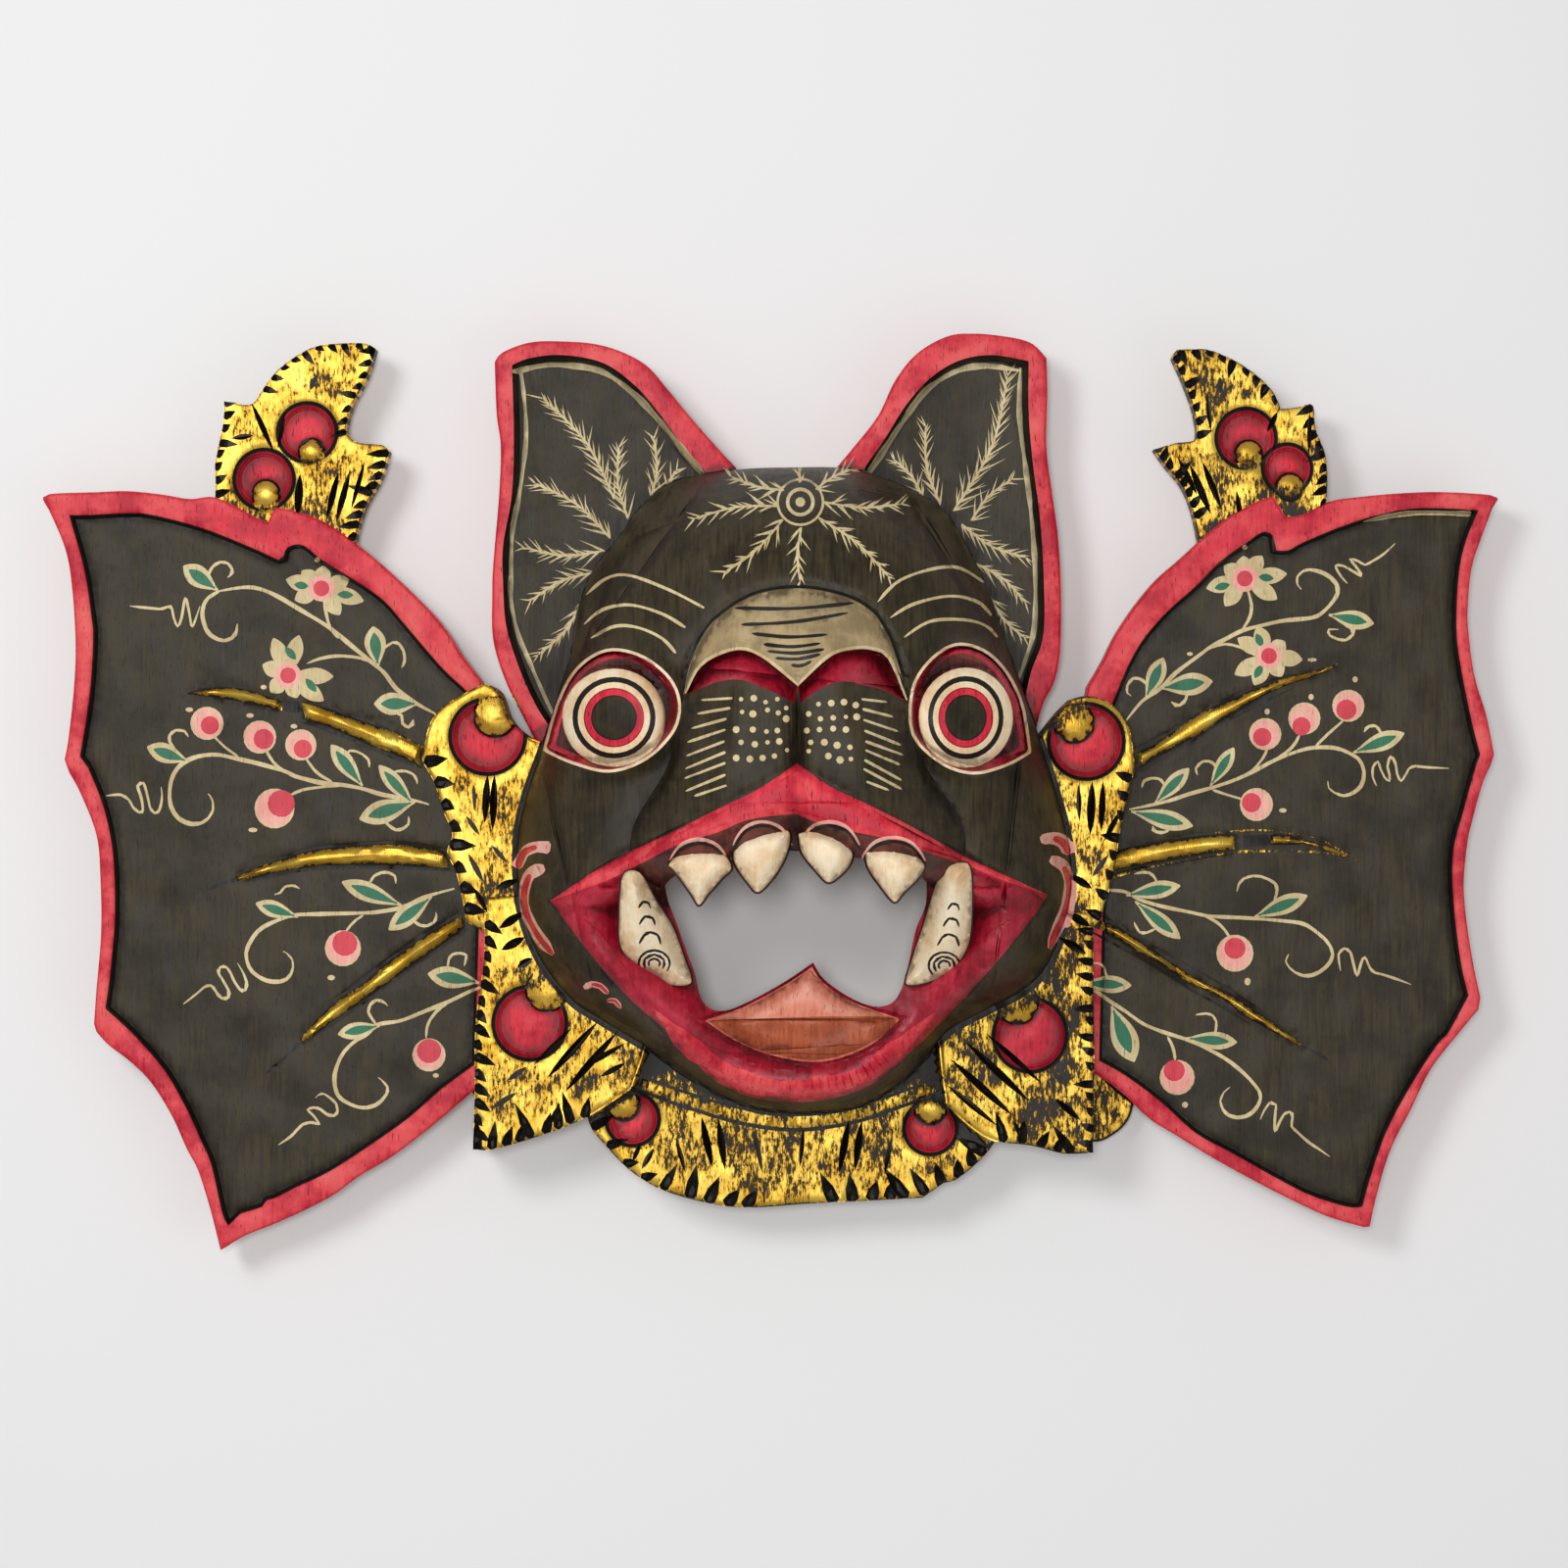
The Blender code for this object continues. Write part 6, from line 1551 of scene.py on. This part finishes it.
def make_head():
    nicks = notches(HEAD_NOTCHES, -1)
    cuts = [lens(start, end, width) for start, end, width in ORNAMENT_GROOVES]
    rope = stroke([tuple(q) for q in ROPE], 11, 1.0, 1.0, 0.05)
    rope_lines = stroke([tuple(q + (0, 7.5)) for q in ROPE], 4.5, 0.8, 0.8)
    rope_lines += stroke([tuple(q - (0, 7.0)) for q in ROPE], 3.5, 0.8, 0.8)

    def gold_plate(p, z, shape, top, seed):
        edge = inside(p, shape, 60)
        gold = top - worn_edge(edge, 3.2) + 0.00018 * waves(p, 40, seed)
        return np.where(edge >= -0.01, gold, z)

    def front(p):
        z = np.full(len(p), EAR_BACK)
        for side in SIDES:
            ear, well = EARS[side]
            rim = inside(p, ear, 60)
            deep = inside(p, well, 90)
            top = EAR_FRONT - worn_edge(rim, 3.2) - EAR_FIELD_DEPTH * ease(deep / 4.5)
            top += 0.00015 * waves(p, 55, 21)
            top -= 0.0012 * ease(deep / 60)
            z = np.where(rim >= -0.01, top, z)
        z = gold_plate(p, z, COLLAR, COLLAR_FRONT, 31)
        for piece in rope:
            z += 0.0012 * swell(inside(p, piece, 2), 5) * (z < COLLAR_FRONT + 0.002)
        for side in SIDES:
            z = gold_plate(p, z, SCROLLS[side], ORNAMENT_FRONT, 33)
        for side in SIDES:
            z = gold_plate(p, z, LEAVES[side], LEAF_FRONT, 35)
        for comma in COMMAS:
            close = np.hypot(*(p - comma[0]).T) < comma[1] + 8
            z[close] = comma_relief(p[close], z[close], *comma)
        for shape in cuts:
            z = cut_v(p, z, shape, GROOVE_DEPTH, 3.4)
        for shape in nicks:
            z = cut_v(p, z, shape, NOTCH_DEPTH, 2.6)
        skull = inside(p, FACE, 20)
        within = skull >= -0.01
        z[within] = np.maximum(face_front(p[within]), np.where(skull[within] < 8, z[within] - 0.0004, 0))
        return z

    hollow_edge = grown(FACE, -WALL / UNIT)
    slots = {side: grown(loop(WING_EDGE[side]), FIT_GAP / UNIT) for side in SIDES}

    def back(p):
        z = np.full(len(p), ORNAMENT_FOOT)
        for side in SIDES:
            z = np.where(inside(p, slots[side], 30) > -0.3, ORNAMENT_BACK, z)
        skull = inside(p, FACE, 60)
        z = np.where(skull > 0.3, 0.0, z)
        within = inside(p, hollow_edge, 60) > 0
        near = p[within]
        if len(near):
            snout = SNOUT_RISE * swell(inside(near, SNOUT, 400), 130)
            roof = round_face(near) + 0.8 * snout
            for reach in (0.0, 0.7, 1.2):
                for turn in np.arange(6) * math.pi / 3:
                    beside = near + reach * WALL / UNIT * np.array([math.cos(turn), math.sin(turn)])
                    wood = (inside(beside, FACE, 5) > 0) & (inside(beside, HOLE, 5) < 0)
                    roof = np.where(wood, np.minimum(roof, bare_face(beside)), roof)
            z[within] = np.maximum(roof - WALL, 0.004)
        return z

    paints = []
    for side in SIDES:
        ear, well = EARS[side]
        # The black band just outside the ear's field is black paint and a painted shadow of the step down
        # from the rim.
        paints += [(ear, RED), (grown(well, 0.8), INK), (grown(well, -4.5), BLACK)]
    for name, width in (("left", 4.2), ("left_top", 5.5), ("right", 5.5), ("right_side", 4.6)):
        paints += filled(stroke(EAR_LINE[name], width, 0.5, 0.5, 0.2), CREAM)
    for side, feathers in EAR_FEATHERS.items():
        for number, (base, tip) in enumerate(feathers):
            span = math.dist(base, tip)
            bend = 0.08 * (-1) ** number
            paints += filled(feather(base, tip, 17 + span * 0.07, 4.6, 0.42, 2.1, bend), CREAM)
    paints += [(COLLAR, GOLD)] + filled(rope_lines, INK) + filled(rope, GOLD)
    paints += [(grown(SCROLLS[side], 0.0), GOLD) for side in SIDES]
    paints += [(LEAVES[side], GOLD) for side in SIDES]
    for comma in COMMAS:
        paints += comma_paints(*comma)
    paints += filled(cuts + nicks, INK)
    # The black band round the dome's foot is a painted shadow where the dome meets the plates.
    paints += [(grown(FACE, 1.6), INK), (FACE, BLACK)]
    paints += face_paints()

    rings = rows_in(FACE, 0.6, 1.6, 3.2, 6, 10, 15, 21, -1.0)
    for side in SIDES:
        ear, well = EARS[side]
        rings += rows_in(ear, 0.6, 1.8, 3.4) + rows_in(well, 2.2)
        for shape in (SCROLLS[side], LEAVES[side]):
            rings += rows_in(shape, 0.6, 1.8, 3.4, -0.8)
    rings += rows_in(COLLAR, 0.6, 1.8, 3.4)
    for comma in COMMAS:
        rings += comma_rows(*comma)
    rings += [(np.array([start, end], dtype=float), False) for start, end, _ in ORNAMENT_GROOVES]
    for aside in (-4.5, 0.0, 4.5):
        rings.append((np.array([(MUZZLE_CREASE_X + aside, y) for y in (708.0, 789.0)]), False))
    rings += rows_in(SNOUT, 0.0, 3.0) + rows_in(NOSE, -3.5, 4) + rows_in(LIP, 4) + rows_in(MOUTH, -2)
    rings += rows_in(TONGUE_SHAPE, 4, -1.5)
    for shape in NOSTRIL_SHAPES:
        rings += rows_in(shape, 1.2)
    for side, lid in LIDS.items():
        x, y, rx, ry = EYES[side]
        rings += rows_in(lid, 1.5, 3.1, 6, -2.5) + [(circle((x, y), rx - 2, None, ry - 2), True)]
    rings += rows_in(HOLE, -1.5, -4.0)

    def seen(xy, z):
        within = inside(xy, FACE, 30) > -0.5
        return np.where(within, 1.0 - np.maximum(z - BOARD_FRONT, 0.0) / VIEW_DISTANCE, 1.0)

    domain = [FACE, COLLAR] + [EARS[s][0] for s in EARS] + list(SCROLLS.values()) + list(LEAVES.values())
    back_rings = [hollow_edge] + [grown(hollow_edge, -d) for d in (1.0, 8, 20)]
    back_rings += [grown(FACE, -0.5), grown(FACE, 0.8)]
    back_rings += [grown(shape, d) for shape in slots.values() for d in (0.2, 1.2)]
    back_rings = [subdivided(shape, 5.0) for shape in back_rings]
    shells = [carved_shell(domain, [HOLE], paints, rings, front, back, 6.0, 12.0, back_rings, seen,
                           (grown(FACE, -2.0), 4.2))]

    for shape, root in zip(TEETH, TOOTH_ROOTS):
        outline = loop([shape + [shape[0]]], 4.0)
        level = float(bare_face(np.array([(root[0], root[1] - 8)], dtype=float))[0]) - TOOTH_SETBACK
        tip_y, root_y = outline[:, 1].max(), outline[:, 1].min()

        def tooth_front(p, outline=outline, level=level, tip_y=tip_y, root_y=root_y):
            edge = inside(p, outline, 30)
            down = (p[:, 1] - root_y) / (tip_y - root_y)
            taper = 1 - 0.35 * ease((down - 0.45) / 0.55)
            return level + TOOTH_DEPTH * swell(edge, 15) * taper + 0.0001 * waves(p, 14, 41)

        def tooth_back(p, outline=outline, level=level):
            return level - TOOTH_DEPTH * 0.9 * swell(inside(p, outline, 30), 13)

        tooth_paints = [(outline, GUM), (grown(outline, -2.2), IVORY)]
        shells.append(carved_shell([outline], [], tooth_paints, rows_in(outline, 5, 9),
                                   tooth_front, tooth_back, 3.6, 6.0, seen=seen))

    for shape, point, root in TUSKS:
        outline = loop([shape + [shape[0]]], 4.0)
        ends = bare_face(np.array([point, root], dtype=float)) + TUSK_RADIUS * 0.25
        axis = np.array(root, dtype=float) - np.array(point, dtype=float)

        def centre_line(p, ends=ends, point=point, axis=axis):
            run = np.clip((p - point) @ axis / (axis @ axis), 0, 1)
            return ends[0] + (ends[1] - ends[0]) * run

        def tusk_front(p, outline=outline, line=centre_line):
            return line(p) + TUSK_RADIUS * 0.95 * swell(inside(p, outline, 30), 24)

        def tusk_back(p, outline=outline, line=centre_line):
            return line(p) - TUSK_RADIUS * 0.8 * swell(inside(p, outline, 30), 20)

        sign = 1 if point[0] < 800 else -1
        tusk_paints = [(outline, GUM), (grown(outline, -1.6), IVORY)]
        spiral = (668, 983) if sign > 0 else (964, 985)
        for radius in (6, 11, 16):
            angles = np.linspace(2.6, 6.9, 9) if sign > 0 else np.linspace(2.4, 6.6, 9)
            arc = [(spiral[0] + radius * math.cos(t),
                    spiral[1] + radius * 0.85 * math.sin(t)) for t in angles]
            tusk_paints += filled(stroke(arc, 2.2, 0.6, 0.5), INK)
        for lift, size in ((26, 11), (44, 8), (60, 6)):
            x, y = spiral[0] - sign * lift * 0.16, spiral[1] - lift
            turn = ((-1, 0.5), (-0.3, -0.5), (0.7, -0.3), (1, 0.6))
            arc = [(x + size * aside, y + size * below) for aside, below in turn]
            tusk_paints += filled(stroke(arc, 2.4, 0.6, 0.4), INK)
        shells.append(carved_shell([outline], [], tusk_paints, rows_in(outline, 5, 10),
                                   tusk_front, tusk_back, 3.8, 7.0, seen=seen))

    for side, arcs in LUG_EDGE.items():
        outline = loop(arcs, 5.0)

        def lug_front(p, outline=outline):
            return LUG_FRONT - worn_edge(inside(p, outline, 30), 3.0)

        def lug_back(p):
            return np.full(len(p), LUG_BACK)

        shells.append(carved_shell([outline], [], [(outline, INK), (grown(outline, -2.5), GOLD)],
                                   rows_in(outline, 1.2, 4), lug_front, lug_back, 8.0, 16.0))

    # The gold is darker towards the right of the mask and less dark above drawing height 900.
    def gold_darkening(co):
        x = co[:, 0] / UNIT + DRAWN_CENTRE[0]
        y = DRAWN_CENTRE[1] - co[:, 1] / UNIT
        places = [450, 540, 640, 800, 960, 1060, 1110, 1150]
        shares = [0.3, 0.42, 0.52, 0.5, 0.66, 0.74, 0.66, 0.55]
        return np.interp(x, places, shares) - 0.1 * (y < 900)

    return build("mask_head_carving", shells, FINISHES, gold_darkening)


def face_paints():
    """Everything painted on the face, in the painter's order."""
    paints = []
    for radius, sides, slot in ((24.5, 28, CREAM), (22.0, 28, BLACK), (14.8, 20, CREAM), (11.2, 20, BLACK),
                                (5.0, 10, CREAM)):
        paints.append((circle(BROW_ROUND, radius, sides), slot))
    for number, (base, tip) in enumerate(BROW_FEATHERS):
        long = math.dist(base, tip) > 40
        length, pitch = (21, 6.4) if long else (13, 4.8)
        paints += filled(feather(base, tip, length, pitch, 0.45, 2.8, 0.06 * (-1) ** number), CREAM)
    for line in BROW_LINES:
        paints += filled(stroke(line, 3.0, 0.2, 0.6), CREAM)
    paints += [(grown(NOSE, 3.0), INK), (NOSE, TAN)]
    paints += filled(NOSTRIL_SHAPES, CRIMSON)
    for top, _ in NOSTRILS:
        paints += filled(stroke([(x, y - 2.0) for x, y in top], 3.0, 0.4, 0.4), CREAM)
    for start, end in NOSE_LINES:
        middle = ((start[0] + end[0]) / 2, (start[1] + end[1]) / 2 + 3.0)
        paints += filled(stroke([start, middle, end], 3.6, 0.3, 0.3), INK)
    for side in SIDES:
        for start, end in WHISKERS[side]:
            paints += filled(stroke([start, end], 2.7, 0.7, 0.2), CREAM)
        for dot in MUZZLE_DOTS[side]:
            paints.append((circle(dot, RNG.uniform(2.2, 4.0), 8), CREAM))
    paints += [(MOUTH, CRIMSON)]
    paints += [(loop(GUM_EDGE, 6.0), GUM), (LIP, RED)]
    for root, width in zip(TOOTH_ROOTS, (31, 30, 31, 33)):
        arch = ((-1, 12), (-0.6, -6), (0, -12), (0.6, -6), (1, 12))
        arc = [(root[0] + width * aside, root[1] + below) for aside, below in arch]
        paints += filled(stroke(arc, 3.4, 0.3, 0.3), PINK)
        paints += filled(stroke([(x, y + 4.0) for x, y in arc], 3.2, 0.3, 0.3), INK)
    paints += [(TONGUE_SHAPE, CRIMSON), (grown(TONGUE_SHAPE, -3.0), TONGUE)]
    paints += [(loop(TONGUE_UNDERSIDE, 8.0), TONGUE_LOW)]
    # Painted highlight along the lower lip.
    paints += filled(stroke(LOWER_LIP_HIGHLIGHT, 19, 0.0, 0.0), RED)
    for side, lid in LIDS.items():
        x, y, rx, ry = EYES[side]
        paints += [(grown(lid, 2.0), IVORY), (grown(lid, -1.0), CRIMSON), (grown(lid, -9.0), GUM)]
        paints += [(circle((x, y), rx, 40, ry), IVORY)]
        share = rx / 53
        for radius, slot in ((42.5, INK), (37.0, IVORY), (31.0, CRIMSON), (29.5, RED), (23.5, INK),
                             (22.0, BLACK)):
            paints.append((circle((x, y), radius * share, 36, radius * ry / 51), slot))
    for side, curls in CHEEK_CURLS.items():
        for points, width in curls:
            paints += filled(stroke(points, width, 0.5, 0.3), PINK)
            core = points[1:] if len(points) > 3 else points
            paints += filled(stroke(core, width * 0.55, 0.5, 0.3), RED)
    return paints


# Lamps: name, place in metres, width in metres and power in watts.
LAMPS = [
    ("key", (-0.66, 0.52, 1.4), 0.5, 7.5),
    ("front", (-0.05, 0.06, 1.95), 0.3, 12.5),
    ("fill", (1.1, -0.6, 1.2), 1.2, 1.5),
]
LAMP_TARGET = (0, 0, 0.03)
WORLD_LIGHT = 0.3


def floor_and_light():
    material = bpy.data.materials.new("pale_paper")
    material.use_nodes = True
    tree = material.node_tree
    tree.nodes["Principled BSDF"].inputs["Base Color"].default_value = linear("#F7F7F7")
    tree.nodes["Principled BSDF"].inputs["Roughness"].default_value = 0.9
    mesh = bpy.data.meshes.new("floor")
    mesh.from_pydata([(-3, -3, 0), (3, -3, 0), (3, 3, 0), (-3, 3, 0)], [], [(0, 1, 2, 3)])
    mesh.materials.append(material)
    floor = place("floor", mesh)

    for name, position, size, power in LAMPS:
        lamp = bpy.data.lights.new(name, "AREA")
        lamp.shape = "DISK"
        lamp.size = size
        lamp.energy = power
        holder = place(name, lamp)
        holder.location = position
        aim = Vector(LAMP_TARGET) - Vector(position)
        holder.rotation_euler = aim.to_track_quat("-Z", "Y").to_euler()
    world = bpy.data.worlds.new("studio")
    world.use_nodes = True
    world.node_tree.nodes["Background"].inputs["Color"].default_value = (1.0, 1.0, 1.0, 1.0)
    world.node_tree.nodes["Background"].inputs["Strength"].default_value = WORLD_LIGHT
    bpy.context.scene.world = world
    bpy.context.scene.view_settings.view_transform = "Standard"


def camera():
    """Straight down on the lying mask, framed as the photograph is."""
    view = bpy.data.cameras.new("view")
    view.sensor_width = 36.0
    view.lens = view.sensor_width * VIEW_DISTANCE / (FRAME_SIDE * UNIT)
    holder = place("view", view)
    middle = FRAME_SIDE / 2
    holder.location = ((middle - DRAWN_CENTRE[0]) * UNIT, (DRAWN_CENTRE[1] - middle) * UNIT,
                       BOARD_FRONT + VIEW_DISTANCE)
    bpy.context.scene.camera = holder


camera()
floor_and_light()
for wing_side in SIDES:
    wing = make_wing(wing_side)
    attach(wing, "root")
    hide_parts("wing_" + wing_side)
head = make_head()
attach(head, "root")
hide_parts("mask_head")
